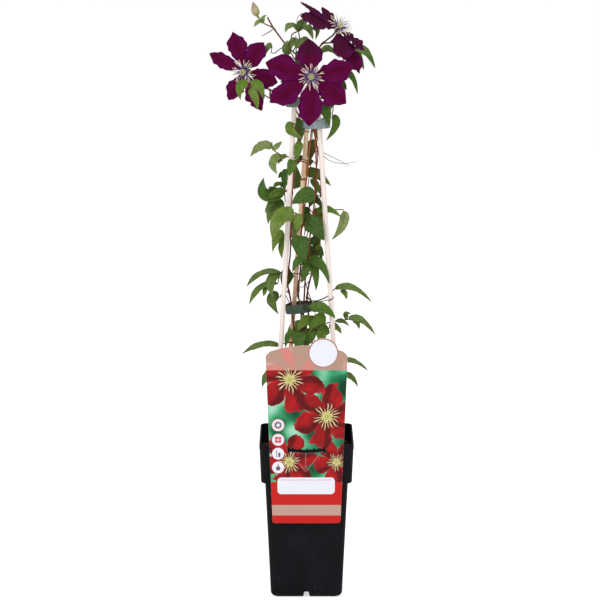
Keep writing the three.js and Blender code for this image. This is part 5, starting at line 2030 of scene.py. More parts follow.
def shaped(blade: Blade, age: float, cells: tuple[int, int]) -> Thing:
    """Shapes one blade from a copy of a blank.

    Args:
        blade: the blade's shape.
        age: the value that its finish reads.
        cells: how many cells the blank has over its width and over its length.

    Returns:
        One open sheet.
    """
    mesh = blank(*cells).copy()
    sheet = bpy.data.objects.new("blade", mesh)
    bpy.context.collection.objects.link(sheet)
    x, y, _ = place_of(sheet).T
    across = np.sign(x) * np.abs(x) ** 1.25
    t = (y + 1) / 2
    t = 0.5 * (t + 0.5 - 0.5 * np.cos(np.pi * t))
    move_points(sheet, blade.surface(across, t) * MM)
    corner = np.empty(len(mesh.loops), np.int32)
    mesh.loops.foreach_get("vertex_index", corner)
    spread = np.column_stack([(across + 1) / 2, t])[corner]
    mesh.uv_layers[0].data.foreach_set("uv", spread.astype(np.float32).ravel())
    paint_points(sheet, "age", np.full(len(x), age))
    return sheet


def thickened(sheets: Sequence[Thing], name: str, upper: Material, under: Material) -> Thing:
    """Joins blades and gives them their thickness.

    Args:
        sheets: the blades as open sheets.
        name: the whole's name.
        upper: the finish on top.
        under: the finish underneath.

    Returns:
        The blades as one object.
    """
    sheet = dress(joined(sheets, name), upper, under)
    for polygon in sheet.data.polygons:
        polygon.use_smooth = True
    apply_modifier(sheet, "SOLIDIFY", thickness=BLADE_THICK * MM, offset=0, material_offset=1,
                   material_offset_rim=0)
    return sheet


# ---------- leaf sprays ----------


@dataclass(frozen=True)
class Spray:
    """A leaf of the plant: where on which vine it grows, the places its stalks run through, its leaflets.

    A leaflet whose base is a number starts where the stalk with that number ends.
    """

    name: str
    vine: str
    height: float
    age: Age
    stalks: tuple[tuple[Place, ...], ...]
    leaflets: tuple[Blade, ...]

    def blades(self) -> Iterator[Blade]:
        """Works out where the leaflets start.

        Yields:
            Each leaflet, with its base as a place.
        """
        for leaflet in self.leaflets:
            at_stalk = isinstance(leaflet.base, int)
            yield replace(leaflet, base=self.stalks[leaflet.base][-1]) if at_stalk else leaflet


SPRAYS = (
    Spray("crown", "back", 691, FULL, (((-8, -4, 702), (-10, -6, 724)),
        ((-10, -6, 724), (-1, -4, 728), (7, 0, 726)),
        ((-10, -6, 724), (-18, -5, 720), (-19, -5, 712), (-14, -7, 705))), (
        Blade(0, (-20, -10, 731), (-27, -14, 723), 12, UPWARD),
        Blade(0, (-5, -1, 734), (4, 4, 737), 11, FRONT),
        Blade((-6, -5, 727), (2, -12, 727), (8, -15, 714), 12, UPWARD),
        Blade(1, (13, 0, 725), (11, -2, 713), 8, RIGHTISH))),
    Spray("nape", "back", 682, OLD, (((-14, -8, 688), (-19, -12, 697)), ((-14, -8, 688), (-13, -11, 703))), (
        Blade(0, (-26, -15, 704), (-23, -13, 713), 11, LEFTISH),
        Blade(1, (-7, -12, 711), (2, -8, 716), 11, FRONT),
        Blade((-14, -8, 688), (-9, -14, 687), (-5, -16, 677), 12, FRONT))),
    Spray("gloss", "right", 692, OLD, (((18, -3, 696),),), (
        Blade(0, (28, -6, 701), (42, -5, 690), 14, UPWARD),)),
    Spray("shoulder", "right", 708, FULL, (((34, 12, 708), (50, 14, 705), (60, 12, 700)),), (
        Blade(0, (74, 8, 696), (86, 0, 677), 14, (0.5, -0.8, 0.6)),
        Blade(0, (67, 13, 688), (72, 11, 674), 9, RIGHTISH))),
    Spray("wing", "right", 657, FULL, (((26, 1, 657), (36, -3, 660), (42, -6, 662)),
        ((26, 1, 657), (29, -4, 646))), (
        Blade(0, (54, -11, 669), (64, -14, 646), 14, (0.5, -0.7, 0.7)),
        Blade(0, (46, -10, 657), (50, -13, 651), 8, FRONT),
        Blade(1, (35, -8, 639), (30, -11, 628), 9, RIGHTISH))),
    Spray("bib", "left", 650, YOUNG, (
        ((-46, -12, 643), (-46, -27, 642), (-60, -38, 652), (-72, -39, 658)),), (
        Blade((-72, -39, 659), (-82, -44, 658), (-82, -46, 642), 13, FRONT, HEART),
        Blade((-71, -39, 655), (-64, -44, 645), (-61, -44, 630), 11, FRONT, HEART),
        Blade((-70, -38, 658), (-59, -40, 658), (-54, -39, 642), 13, FRONT, HEART))),
    Spray("collar_right", "right", 640, FULL, (((24, 0, 638), (22, -12, 636), (15, -20, 633)),
        ((24, 0, 638), (33, -4, 630), (32, -10, 620))), (
        Blade(0, (22, -26, 627), (28, -26, 608), 21, RIGHTISH, HEART),
        Blade(1, (36, -15, 607), (24, -18, 588), 11, RIGHTISH))),
    Spray("collar_left", "left", 584, YOUNG, (((-9, -7, 586), (-9, -14, 598), (-16, -17, 610)),
        ((-9, -7, 586), (-14, 2, 594), (-14, 16, 604), (-13, 18, 614))), (
        Blade(0, (-20, -19, 602), (-4, -21, 590), 13, LEFTISH),
        Blade(1, (-12, 20, 602), (-9, 19, 589), 15, FRONT),
        Blade((-8, -7, 586), (-11, -12, 575), (-13, -13, 559), 11, FRONT))),
    Spray("outlook", "left", 563, NEW, (((-24, 4, 565), (-32, 4, 567), (-43, 4, 574)),
        ((-43, 4, 574), (-44, 5, 584))), (
        Blade((-43, 4, 576), (-57, 1, 578), (-71, -2, 566), 18, UPWARD),
        Blade(0, (-37, 3, 579), (-31, 1, 585), 7, FRONT, LANCE),
        Blade((-24, 4, 565), (-32, 5, 563), (-36, 2, 556), 11, UPWARD),
        Blade((-32, 4, 567), (-42, 0, 558), (-37, -4, 544), 13, LEFTISH))),
    Spray("locket", "centre", 557, FULL, (((-4, -16, 561), (-16, -19, 564)),), (
        Blade(0, (-19, -22, 556), (-22, -24, 544), 13, FRONT, HEART),)),
    Spray("elbow", "left", 519, FULL, (((-28, 4, 521),), ((-28, 4, 521), (-22, 12, 523), (-15, 14, 525)),
        ((-28, 4, 521), (-25, 8, 532)), ((-28, 4, 521), (-27, 9, 506))), (
        Blade(0, (-52, -3, 519), (-54, -9, 540), 21, (-0.2, -1, 0.5)),
        Blade((-29, 5, 526), (-36, 4, 530), (-43, 0, 525), 9, UPWARD),
        Blade(0, (-39, -2, 519), (-52, -8, 512), 12, FRONT),
        Blade(2, (-30, 9, 541), (-36, 8, 537), 11, FRONT),
        Blade((-15, 14, 522), (-15, 14, 537), (-13, 13, 553), 20, FRONT),
        Blade((-28, 5, 518), (-42, 1, 509), (-53, -5, 495), 11, UPWARD),
        Blade((-27, 9, 504), (-42, 7, 498), (-49, 3, 479), 18, LEFTISH))),
    Spray("apron", "right", 522, OLD, (((13, -9, 522), (12, -18, 519)),), (
        Blade((11, -18, 520), (-4, -24, 518), (-18, -25, 509), 21, (0.1, -1, 0.5), HEART),)),
    Spray("curtain", "back", 548, YOUNG, (((10, 16, 548), (3, 17, 546)),), (
        Blade((-4, 16, 543), (13, 15, 541), (31, 11, 527), 14, FRONT),
        Blade((5, 17, 535), (13, 17, 526), (20, 15, 512), 9, FRONT))),
    Spray("lantern", "left", 494, YOUNG, (((-13, -10, 495), (-14, -22, 495)),), (
        Blade((-14, -22, 493), (-34, -32, 491), (-42, -34, 462), 23, (-0.3, -1, 0.6), HEART),
        Blade((-12, -22, 496), (-11, -27, 486), (-12, -28, 473), 13, FRONT, HEART))),
    Spray("heart", "centre", 482, OLD, (((-3, -9, 483), (1, -14, 484)),
        ((-3, -9, 483), (-2, -19, 473), (-3, -23, 469))), (
        Blade((1, -14, 485), (11, -20, 478), (22, -23, 462), 23, FRONT, HEART),
        Blade((-7, -23, 469), (-7, -31, 455), (-2, -34, 436), 23, FRONT, HEART))),
    Spray("handkerchief", "right", 491, YOUNG, (((18, 2, 494), (32, 4, 497), (47, 8, 497)),), (
        Blade((12, 1, 493), (27, 2, 498), (44, 3, 488), 11, (0, -1, 0.7)),
        Blade((47, 8, 496), (46, 3, 479), (32, 1, 459), 13, (0.3, 1, -0.3)))),
    Spray("cuff", "left", 463, YOUNG, (((-28, 4, 466),),), (
        Blade(0, (-37, 0, 462), (-43, -2, 444), 14, LEFTISH),
        Blade(0, (-32, 6, 450), (-31, 5, 434), 9, LEFTISH))),
    Spray("tuft", "back", 447, FULL, (((9, 15, 448),),), (
        Blade(0, (14, 16, 456), (19, 15, 462), 11, FRONT),
        Blade(0, (16, 17, 444), (22, 15, 436), 11, FRONT),
        Blade(0, (10, 17, 437), (17, 15, 424), 12, FRONT))),
    Spray("waist", "right", 433, FULL, (((1, -8, 434),),), (
        Blade(0, (17, -15, 430), (29, -17, 405), 15, RIGHTISH),
        Blade(0, (10, -13, 421), (12, -15, 396), 14, RIGHTISH),
        Blade(0, (-10, -13, 434), (-18, -15, 420), 13, LEFTISH),
        Blade(0, (-2, -9, 419), (-7, -11, 405), 11, FRONT))),
    Spray("drift", "left", 416, FULL, (((-33, 2, 417),), ((-33, 2, 417), (-37, 4, 402))), (
        Blade(0, (-58, -4, 416), (-76, -12, 401), 11, UPWARD, LANCE),
        Blade(1, (-59, 0, 397), (-73, -7, 377), 11, UPWARD, LANCE),
        Blade((-51, 2, 399), (-53, -2, 393), (-55, -5, 387), 7, LEFTISH),
        Blade(0, (-45, -5, 406), (-42, -9, 387), 15, LEFTISH))),
    Spray("pocket", "left", 392, OLD, (((-30, 7, 391), (-34, 11, 383)),
        ((-30, 7, 391), (-26, 14, 408), (-22, 15, 422))), (
        Blade(0, (-44, 7, 381), (-36, 4, 362), 16, LEFTISH),
        Blade(1, (-27, 16, 410), (-31, 14, 395), 14, LEFTISH))),
    Spray("beckon", "back", 384, FULL, (((8, 12, 378), (26, 4, 385), (35, 2, 395)),), (
        Blade(0, (59, -1, 397), (83, -8, 380), 12, (0.1, -0.7, 1)),
        Blade((44, 2, 394), (49, -3, 390), (51, -4, 383), 8, RIGHTISH))),
    Spray("bridge", "centre", 394, FULL, (((-10, -9, 389), (-8, -17, 380), (3, -20, 374)),), (
        Blade(0, (21, -25, 375), (37, -25, 362), 15, (0.1, -1, 0.6)),)),
    Spray("skirt", "right", 351, YOUNG, (((3, -8, 354), (8, -11, 358), (25, -9, 361)),
        ((3, -8, 354), (18, -3, 347), (29, -1, 345))), (
        Blade((8, -11, 358), (-3, -16, 356), (-11, -18, 345), 14, FRONT),
        Blade(0, (14, -17, 358), (4, -20, 346), 16, FRONT),
        Blade(1, (20, -9, 341), (15, -14, 331), 15, FRONT),
        Blade(1, (37, 0, 346), (45, -2, 338), 13, UPWARD))),
    Spray("sleeve", "back", 346, FULL, (((20, 10, 348), (36, 5, 353), (53, 6, 355)),), (
        Blade((37, 5, 353), (46, 2, 353), (55, -1, 348), 8, UPWARD),
        Blade(0, (50, 5, 362), (57, 0, 364), 8, RIGHTISH),
        Blade(0, (70, 4, 354), (88, -4, 337), 12, (0.2, -0.7, 1)),
        Blade((59, 6, 356), (65, 1, 351), (67, -2, 344), 8, RIGHTISH))),
    Spray("tassel", "centre", 338, FULL, (((-9, -12, 343), (-16, -12, 344)),
        ((-9, -12, 343), (2, -10, 346), (8, -8, 345))), (
        Blade((-9, -12, 343), (-10, -21, 335), (-10, -23, 322), 20, FRONT, HEART),
        Blade(0, (-23, -12, 337), (-27, -11, 321), 10, LEFTISH),
        Blade(1, (5, -12, 335), (-1, -14, 323), 12, FRONT))),
    Spray("streamer", "left", 326, FULL, (((-24, 0, 326), (-33, 1, 323)),), (
        Blade((-33, 1, 321), (-57, -5, 324), (-82, -12, 314), 12, UPWARD, LANCE),)),
    Spray("low_right", "back", 297, FULL, (((26, 12, 298), (44, 9, 302)), ((26, 12, 298), (46, 10, 288))), (
        Blade((44, 9, 301), (62, 4, 300), (79, -4, 290), 9, UPWARD),
        Blade((46, 10, 284), (58, 5, 279), (66, 0, 268), 9, RIGHTISH))),
    Spray("low_left", "left", 283, FULL, (((-26, 3, 284), (-39, 7, 287)),), (
        Blade(0, (-50, 3, 282), (-57, -2, 268), 13, LEFTISH),)),
    Spray("rear_high", "back", 596, OLD, (((8, 19, 598), (4, 30, 602)),), (
        Blade(0, (12, 38, 599), (14, 40, 582), 18, REAR, HEART),
        Blade(0, (-6, 38, 597), (-8, 38, 578), 16, REAR, HEART))),
    Spray("rear_middle", "back", 470, FULL, (((10, 22, 474), (2, 30, 477)),), (
        Blade(0, (-12, 40, 474), (-16, 44, 450), 22, REAR, HEART),
        Blade(0, (12, 42, 470), (12, 44, 446), 20, REAR, HEART),
        Blade(0, (-2, 40, 486), (-4, 50, 476), 15, UPWARD))),
    Spray("rear_low", "back", 330, OLD, (((6, 22, 334), (2, 31, 337)),), (
        Blade(0, (-14, 40, 336), (-24, 44, 316), 20, REAR, HEART),
        Blade(0, (16, 42, 334), (22, 46, 312), 20, REAR, HEART),
        Blade(0, (0, 42, 324), (-1, 46, 306), 18, REAR, HEART))),
)


INNER_LEAVES = (
    Blade((-25, 10, 549), (-27, 6, 538), (-29, 4, 520), 11, FRONT, OVATE, OLD),
    Blade((-4, 13, 565), (-10, 9, 560), (-15, 7, 552), 9, LEFTISH, OVATE, OLD),
    Blade((7, 12, 560), (2, 8, 556), (-4, 6, 549), 8, FRONT, OVATE, OLD),
    Blade((9, 17, 586), (6, 13, 573), (2, 11, 554), 12, FRONT, OVATE, OLD),
    Blade((15, 12, 515), (8, 8, 509), (3, 6, 499), 10, LEFTISH, OVATE, OLD),
    Blade((6, 8, 512), (15, 4, 507), (21, 2, 497), 9, RIGHTISH, OVATE, OLD),
    Blade((8, 14, 494), (18, 10, 488), (26, 8, 468), 13, RIGHTISH),
    Blade((4, 10, 499), (-3, 6, 490), (-5, 4, 473), 11, FRONT, OVATE, OLD),
    Blade((16, 10, 460), (8, 6, 457), (2, 4, 449), 10, LEFTISH, OVATE, OLD),
    Blade((7, 9, 447), (15, 5, 443), (20, 3, 433), 10, RIGHTISH, OVATE, OLD),
    Blade((11, 4, 446), (15, 0, 450), (18, -2, 456), 6, FRONT, HEART, YOUNG),
    Blade((8, 11, 450), (4, 7, 441), (7, 5, 427), 11, FRONT),
    Blade((-20, 9, 482), (-22, 5, 474), (-22, 3, 460), 8, FRONT, OVATE, OLD),
    Blade((-10, 8, 436), (-13, 4, 430), (-17, 2, 419), 7, FRONT, LANCE, YOUNG),
    Blade((-20, 7, 418), (-25, 3, 408), (-29, 1, 392), 14, FRONT, OVATE, OLD),
    Blade((11, -4, 346), (4, -8, 339), (-1, -10, 324), 10, FRONT),
    Blade((-7, -10, 670), (-21, -14, 667), (-33, -16, 661), 11, FRONT, OVATE, OLD),
    Blade((24, -3, 643), (31, -7, 637), (31, -9, 627), 7, FRONT),
    Blade((-12, -6, 714), (-19, -10, 709), (-23, -12, 697), 9, FRONT),
    Blade((-12, -8, 699), (-8, -12, 693), (-3, -14, 684), 10, FRONT, OVATE, OLD),
    Blade((-10, -4, 710), (-1, -8, 714), (7, -10, 706), 8, UPWARD),
    Blade((-43, -12, 706), (-48, -16, 705), (-51, -18, 696), 8, FRONT),
    Blade((2, 12, 356), (10, 8, 353), (16, 6, 343), 10, RIGHTISH, OVATE, OLD),
    Blade((-7, 10, 355), (-3, 6, 349), (-6, 4, 338), 9, FRONT, OVATE, OLD),
    Blade((1, 12, 422), (-2, 8, 414), (-8, 6, 405), 9, LEFTISH),
    Blade((-8, -3, 614), (-10, -7, 604), (-7, -9, 592), 11, FRONT, OVATE, OLD),
    Blade((-8, 12, 510), (-6, 8, 504), (-1, 6, 494), 8, FRONT, OVATE, OLD),
    Blade((20, 8, 431), (15, 4, 427), (16, 2, 417), 5, FRONT, LANCE),
)

SHOOTS = (
    ((6, -4, 417), (6, -6, 412), (1, -8, 405), (-4, -8, 400), (-11, -5, 399)),
    ((-3, -4, 371), (3, -8, 378), (8, -10, 380), (18, -12, 382), (28, -14, 384), (31, -15, 385),
     (34.8, -12, 387), (34.6, -8.6, 388)),
    ((-19, -2, 374), (-24, -6, 383), (-27, -7, 392), (-29, -5.5, 397)),
    ((6, -2, 378), (2, -4, 393), (-2, -3, 407), (-4, 0, 418)),
    ((-5, -6, 379), (-11, -8, 386), (-12, -6, 396), (-10, -3, 408)),
    ((-8, -8, 369), (-4, -9, 363.5), (1, -9, 363.5), (4, -7, 369)),
    ((-40, -3, 727), (-48, -6, 722), (-56, -8, 718)),
    ((-25, -2, 704), (-33, -8, 702), (-40, -11, 697), (-44, -12, 698), (-43, -12, 706)),
    ((-13, -8, 706), (-11, -10, 713), (-14, -10, 718)),
    ((12, 2, 514), (10, 1, 536), (14, 0, 561), (13, 1, 587), (14, 2, 602)),
    ((-2, 4, 503), (2, 3, 529), (6, 2, 561), (7, 1, 593), (8, 1, 604)),
    ((16, 4, 510), (18, 3, 529), (17, 2, 555), (15, 1, 576), (16, 2, 599)),
    ((-4, 2, 430), (-2, 3, 452), (3, 3, 478), (4, 3, 504)),
    ((7, 4, 430), (11, 5, 452), (10, 5, 478), (12, 4, 503)),
    ((11, 4, 322), (7, 4, 342), (11, 2, 362), (9, 0, 371)),
)


def nearest_vine(place: Place) -> Rows:
    """The place on a vine where a small leaf or shoot that starts at a place grows out."""
    lines = np.vstack([through(line, 300) for line in VINES.values()])
    return lines[np.argmin(np.linalg.norm(lines - place + (0, 0, 5), axis=1))]


@dataclass
class Foliage:
    """All the leaves, with their stalks and the ribs under their blades, and the thin shoots."""

    stalk: float = 0.85
    ribbed: float = 0.82
    shoot: float = 0.62
    cells: tuple[int, int] = (16, 34)
    upper: LeafFace = LeafFace("leaf_upper", (58, 91, 31), (75, 108, 36), (95, 124, 34), (130, 148, 84),
                               vein=(112, 134, 64), edge=(96, 60, 36), rough=0.4, relief=-0.6)
    under: LeafFace = LeafFace("leaf_under", (92, 112, 60), (108, 126, 70), (146, 162, 108), (156, 172, 116),
                               vein=(140, 152, 106), edge=(96, 56, 56), rough=0.58, relief=0.8)
    skin: StemSkin = StemSkin("stalk_skin", (128, 70, 50), (116, 122, 62), 0.5)
    shoot_skin: StemSkin = StemSkin("shoot_skin", (112, 54, 56), (110, 76, 62), 0.56)

    def _leaflet(self, leaflet: Blade, age: Age, rng: np.random.Generator, ribs: Tubes,
                 taper: Sequence[float]) -> Thing:
        """Makes one blade, and the raised rib on its underside most of the way to its tip.

        Args:
            leaflet: its shape.
            age: how old it is.
            rng: what makes it differ a little from the others.
            ribs: the tubes that its rib joins.
            taper: how the rib thins.

        Returns:
            The blade.
        """
        blade = replace(leaflet, seed=int(rng.integers(1 << 30)))
        t = np.linspace(0, self.ribbed, 14)
        _, ahead, side = blade.rib(t)
        depth = np.interp(t, (0, 0.1, 1), (0.0, 0.45, 0.3))[:, None]
        ribs.add(blade.surface(0 * t, t) - np.cross(side, ahead) * depth, taper)
        return shaped(blade, float(np.clip(age.value + rng.normal(0, 0.06), 0, 1)), self.cells)

    def spray(self, spray: Spray) -> tuple[list[Thing], Tubes]:
        """Grows one spray.

        Args:
            spray: which one.

        Returns:
            Its blades, and the tubes of its stalks and ribs.
        """
        rng = np.random.default_rng(sum(map(ord, "leaves_" + spray.name)))
        main, *branches = spray.stalks
        tubes = Tubes(self.stalk, 3)
        tubes.add(through([on_vine(spray.vine, spray.height), *main], 22), (1.25, 1.0, 0.95, 0.85))
        for places in branches:
            tubes.add(through(places, 14), (1.0, 0.85, 0.75))
        return [self._leaflet(leaflet, spray.age, rng, tubes, (0.85, 0.55, 0.3, 0.12))
                for leaflet in spray.blades()], tubes

    def inner(self) -> tuple[list[Thing], Tubes]:
        """Makes the small leaves between the canes, each on a thin stalk from the nearest vine.

        Returns:
            The blades, and the tubes of their stalks and ribs.
        """
        rng = np.random.default_rng(31)
        blades, tubes = [], Tubes(self.stalk * 0.75, 2)
        held = {line[-1] for line in SHOOTS}
        for leaflet in INNER_LEAVES:
            blades.append(self._leaflet(leaflet, leaflet.age, rng, tubes, (0.8, 0.5, 0.2)))
            if leaflet.base not in held:
                root = nearest_vine(leaflet.base)
                half = (root + leaflet.base) / 2 + rng.uniform(-1.5, 1.5, 3)
                tubes.add(through([root, half, leaflet.base], 12), (1.2, 0.95, 0.9))
        return blades, tubes

    def shoots(self) -> Thing:
        """Builds the thin shoots that run along and between the vines.

        Returns:
            The shoots.
        """
        tubes = Tubes(self.shoot, 2)
        for line in SHOOTS:
            curve = through([nearest_vine(line[0]), *line], 44)
            curve += 0.14 * np.sin(np.outer(np.arange(44), (0.21, 0.17, 0.13)) + line[0][2])
            tubes.add(curve, (1.15, 1.0, 0.95, 0.7))
        return tubes.mesh("thin_shoots")

    def dressed(self) -> None:
        """Builds every spray and gives its parts their finishes."""
        upper, under, skin = self.upper.material(), self.under.material(), self.skin.material()
        grown = [(f"spray_{spray.name}", *self.spray(spray), f"leaves_{spray.name}") for spray in SPRAYS]
        for name, blades, tubes, *nodes in (*grown, ("inner_leaves", *self.inner())):
            leaves = thickened(blades, f"{name}_blades", upper, under)
            stalks = dress(tubes.mesh(f"{name}_stalks"), skin)
            finish_piece(joined([leaves, stalks], name), "leaves", *nodes)
        finish_piece(dress(self.shoots(), self.shoot_skin.material()), "vines")


# ---------- flowers ----------


@dataclass
class Flower:
    """One open flower: six waved tepals, a ring of stamens, and the pistil in their middle."""

    place: str
    stand: Stand
    stamens: int = 30
    styles: int = 44
    reach: float = 17
    heart: float = 2.6

    def spot(self, turn: float | Rows, radius: float | Rows, height: float | Rows) -> Rows:
        """Finds places round the flower's axis.

        Args:
            turn: the angle round the flower's axis.
            radius: how far from it, in millimetres.
            height: how far over its face.

        Returns:
            The places.
        """
        right, up = self.stand.sides()
        turn, radius, height = (v[..., None] for v in np.broadcast_arrays(turn, radius, height))
        return self.stand.centre + height * self.stand.out() + radius * (
            np.cos(turn) * right + np.sin(turn) * up)

    def away(self, obj: Thing) -> Rows:
        """Where an object's points are, seen from the flower's middle, in millimetres."""
        return place_of(obj) / MM - self.stand.centre

    def turned_here(self, name: str, profile: Sequence[Pair], sides: int, degrees: float) -> Thing:
        """Turns a profile and stands it on the flower's face."""
        return stand_along(turned(name, profile, sides), metres(self.stand.centre), Vector(self.stand.face),
                           degrees)

    def tepals(self, upper: Material, under: Material, cup: Material) -> Thing:
        """Builds the tepals and the small cup that they grow from.

        Args:
            upper: the finish of the tepals' faces.
            under: that of their backs.
            cup: that of the cup.

        Returns:
            The tepals with their cup.
        """
        centre, out = np.array(self.stand.centre, float), self.stand.out()
        blades = []
        for i, tepal in enumerate(self.stand.tepals):
            reach = tepal.tip - centre
            blade = Blade(centre + 0.03 * reach + out * (0.3 if i % 2 else -1),
                          centre + 0.52 * reach + out * (2 if i % 2 else 0), tepal.tip, tepal.width,
                          tepal.face or self.stand.face, TEPAL, fold=0.13, wave=tepal.wave,
                          crimp=0.55 * tepal.wave, grooves=0.42, ragged=0.055 * tepal.wave,
                          seed=71 * i + len(self.place))
            blades.append(shaped(blade, 0.5, (30, 44)))
        bowl = self.turned_here("cup", (
            (0.6, -CUP_DEPTH), (2.0, -CUP_DEPTH + 0.1), (3.2, -1.6), (4.2, -0.5), (4.5, 0.2), (4.5, 0.9),
            (4.1, CUP_FACE), (0.3, CUP_FACE + 0.1)), 32, 50)
        return joined([thickened(blades, "blades", upper, under), dress(bowl, cup)],
                      f"flower_{self.place}_tepals")

    def stamen_ring(self, filament: Material, anther: Material) -> Thing:
        """Builds the filaments, curved up and out, each with a long anther at its end.

        Args:
            filament: the filaments' finish.
            anther: the anthers' finish.

        Returns:
            The ring of stamens.
        """
        rng = np.random.default_rng(len(self.place))
        threads, ends = Tubes(0.5, 1), Tubes(0.5, 1)
        t, cut = np.linspace(0, 1, 12), 8
        for i in range(self.stamens):
            turn = 2 * math.pi * (i + rng.uniform(-0.25, 0.25)) / self.stamens
            reach = self.reach * (0.8 if i % 3 == 0 else 1) * rng.uniform(0.9, 1.02)
            lift = (7.5 if i % 2 else 10.5) * rng.uniform(0.85, 1.05)
            radius = self.heart + (reach - self.heart) * t**1.15
            height = CUP_FACE + 0.4 + lift * np.sin(t * 1.9) / math.sin(1.9) * (1 - 0.12 * t**3)
            line = self.spot(turn + rng.normal(0, 0.12) * t**2, radius, height)
            threads.add(line[: cut + 1], (1.5, 1.15, 0.9, 0.8))
            ends.add(through(line[cut - 1:], 9), (0.8, 1.0, 1.0, 0.9, 0.45))
        ring = joined([dress(threads.mesh("filaments"), filament), dress(ends.mesh("anthers"), anther)],
                      f"flower_{self.place}_stamens")
        far = np.linalg.norm(np.cross(self.away(ring), self.stand.out()), axis=1)
        paint_points(ring, "rise", np.clip(far / self.reach, 0, 1))
        return ring

    def pistil(self, finish: Material) -> Thing:
        """Builds the pistil: a short column topped with a tuft of curved styles.

        Args:
            finish: its finish.

        Returns:
            The pistil.
        """
        rng = np.random.default_rng(5)
        foot = CUP_FACE + 0.2
        column = self.turned_here("column", (
            (1.7, foot), (1.9, foot + 1.5), (2.1, foot + 3), (2.3, foot + 5), (1.6, foot + 6.5),
            (0.3, foot + 7)), 24, 60)
        styles, t = Tubes(0.42, 1), np.linspace(0, 1, 6)
        for i in range(self.styles):
            ring = math.sqrt((i + 0.5) / self.styles)
            radius = 1.0 + ring * (1.5 + 1.3 * np.sin(t * 1.6) + 0.7 * t**3)
            height = foot + 2.5 + t * (8.3 - 2.4 * ring**2) * rng.uniform(0.92, 1.05)
            styles.add(self.spot(i * GOLDEN_TURN + 0.2 * t, radius, height), (1.1, 1.0, 0.9, 0.75))
        whole = joined([column, styles.mesh("styles")], f"flower_{self.place}_pistil")
        paint_points(whole, "rise", np.clip((self.away(whole) @ self.stand.out() - foot) / 11, 0, 1))
        return dress(whole, finish)


@dataclass
class Flowers:
    """The three open flowers and their shared finishes."""

    stands: tuple[tuple[str, Stand], ...] = (("left", LEFT), ("middle", MIDDLE), ("right", RIGHT))
    upper: TepalFace = TepalFace("tepal_upper", (106, 5, 52), (98, 5, 60), (104, 10, 80), (112, 8, 50))
    under: TepalFace = TepalFace("tepal_under", (98, 28, 60), (92, 28, 68), (108, 40, 88), (116, 52, 70), 0.7)
    cup: FlowerHeart = FlowerHeart("flower_cup", (96, 90, 50), (104, 60, 56), (92, 14, 52))
    filament: FlowerHeart = FlowerHeart("filament", (52, 12, 88), (138, 108, 176), (250, 244, 230))
    anther: FlowerHeart = FlowerHeart("anther", (232, 222, 192), (244, 234, 204), (248, 240, 214))
    style: FlowerHeart = FlowerHeart("styles", (226, 222, 150), (250, 246, 188), (255, 253, 224))

    def dressed(self) -> None:
        """Builds the flowers and gives their parts their finishes."""
        upper, under, cup, filament, anther, style = (finish.material() for finish in (
            self.upper, self.under, self.cup, self.filament, self.anther, self.style))
        for place, stand in self.stands:
            flower = Flower(place, stand)
            finish_piece(flower.tepals(upper, under, cup), "tepals", f"tepals_{place}")
            finish_piece(flower.stamen_ring(filament, anther), "stamens", f"stamens_{place}")
            finish_piece(flower.pistil(style), "pistils", f"pistil_{place}")


# ---------- bud and tendrils ----------


@dataclass
class Bud:
    """The closed flower bud on its bent stalk, with two small leaves under it."""

    foot: Place = (-62, -4, 743)
    way: Place = (-0.3, -0.1, 0.95)
    joint: Place = (-54, -4, 734)
    skin: FlowerHeart = FlowerHeart("bud_skin", (166, 168, 88), (206, 194, 160), (180, 152, 138))
    leaf: LeafFace = LeafFace("bud_leaf", (84, 122, 48), (104, 142, 58), (130, 160, 74), (150, 176, 90),
                              vein=(160, 178, 110), edge=(124, 70, 60), rough=0.42, relief=-0.5)
    stalk: StemSkin = StemSkin("bud_stalk_skin", (124, 72, 56), (128, 132, 76), 0.5, crown=0.0)

    def body(self) -> Thing:
        """Builds the bud: six closed tepals, seamed and pointed.

        Returns:
            The bud on its foot.
        """
        heights = np.linspace(-1, 18.2, 34)
        known = ((-1, 0.5), (0, 2.3), (1.5, 3.7), (4, 4.9), (6, 5.2), (8.5, 5.0), (11, 4.3), (13.5, 3.1),
                 (15.5, 1.9), (17.2, 0.8), (18.2, 0.25))
        bud = turned("bud_body", list(zip(np.interp(heights, *zip(*known)), heights)), 60)
        places = place_of(bud) / MM
        x, y, z = places.T
        seam = np.abs(np.cos(3 * (np.arctan2(y, x) + z * 0.05)))
        places[:, :2] *= (1 - 0.13 * (1 - seam) ** 2 * np.clip(z / 3, 0.2, 1))[:, None]
        places[:, 0] += 0.004 * np.maximum(0, z - 8) ** 2
        move_points(bud, places * MM)
        paint_points(bud, "rise", np.clip(z / 18, 0, 1))
        return stand_along(bud, metres(self.foot), Vector(self.way), 60)

    def dressed(self) -> None:
        """Builds the bud with its stalk and leaves and gives them their finishes."""
        leaf = self.leaf.material()
        blades = [shaped(blade, 0.6, (12, 22)) for blade in (
            Blade(self.joint, (-60, -5, 735), (-66, -7, 729), 8, UPWARD, seed=3),
            Blade(self.joint, (-54, -5, 740), (-50, -7, 744), 6, LEFTISH, LANCE, seed=4))]
        tubes = Tubes(0.9, 3)
        tubes.add(through([on_vine("back", 728), (-46, -4, 730), self.joint, self.foot], 26),
                  (1.1, 0.95, 0.95, 1.1, 1.5))
        parts = [dress(self.body(), self.skin.material()), thickened(blades, "bud_leaves", leaf, leaf),
                 dress(tubes.mesh("bud_stalk"), self.stalk.material())]
        finish_piece(joined(parts, "flower_bud"), "bud", "bud")


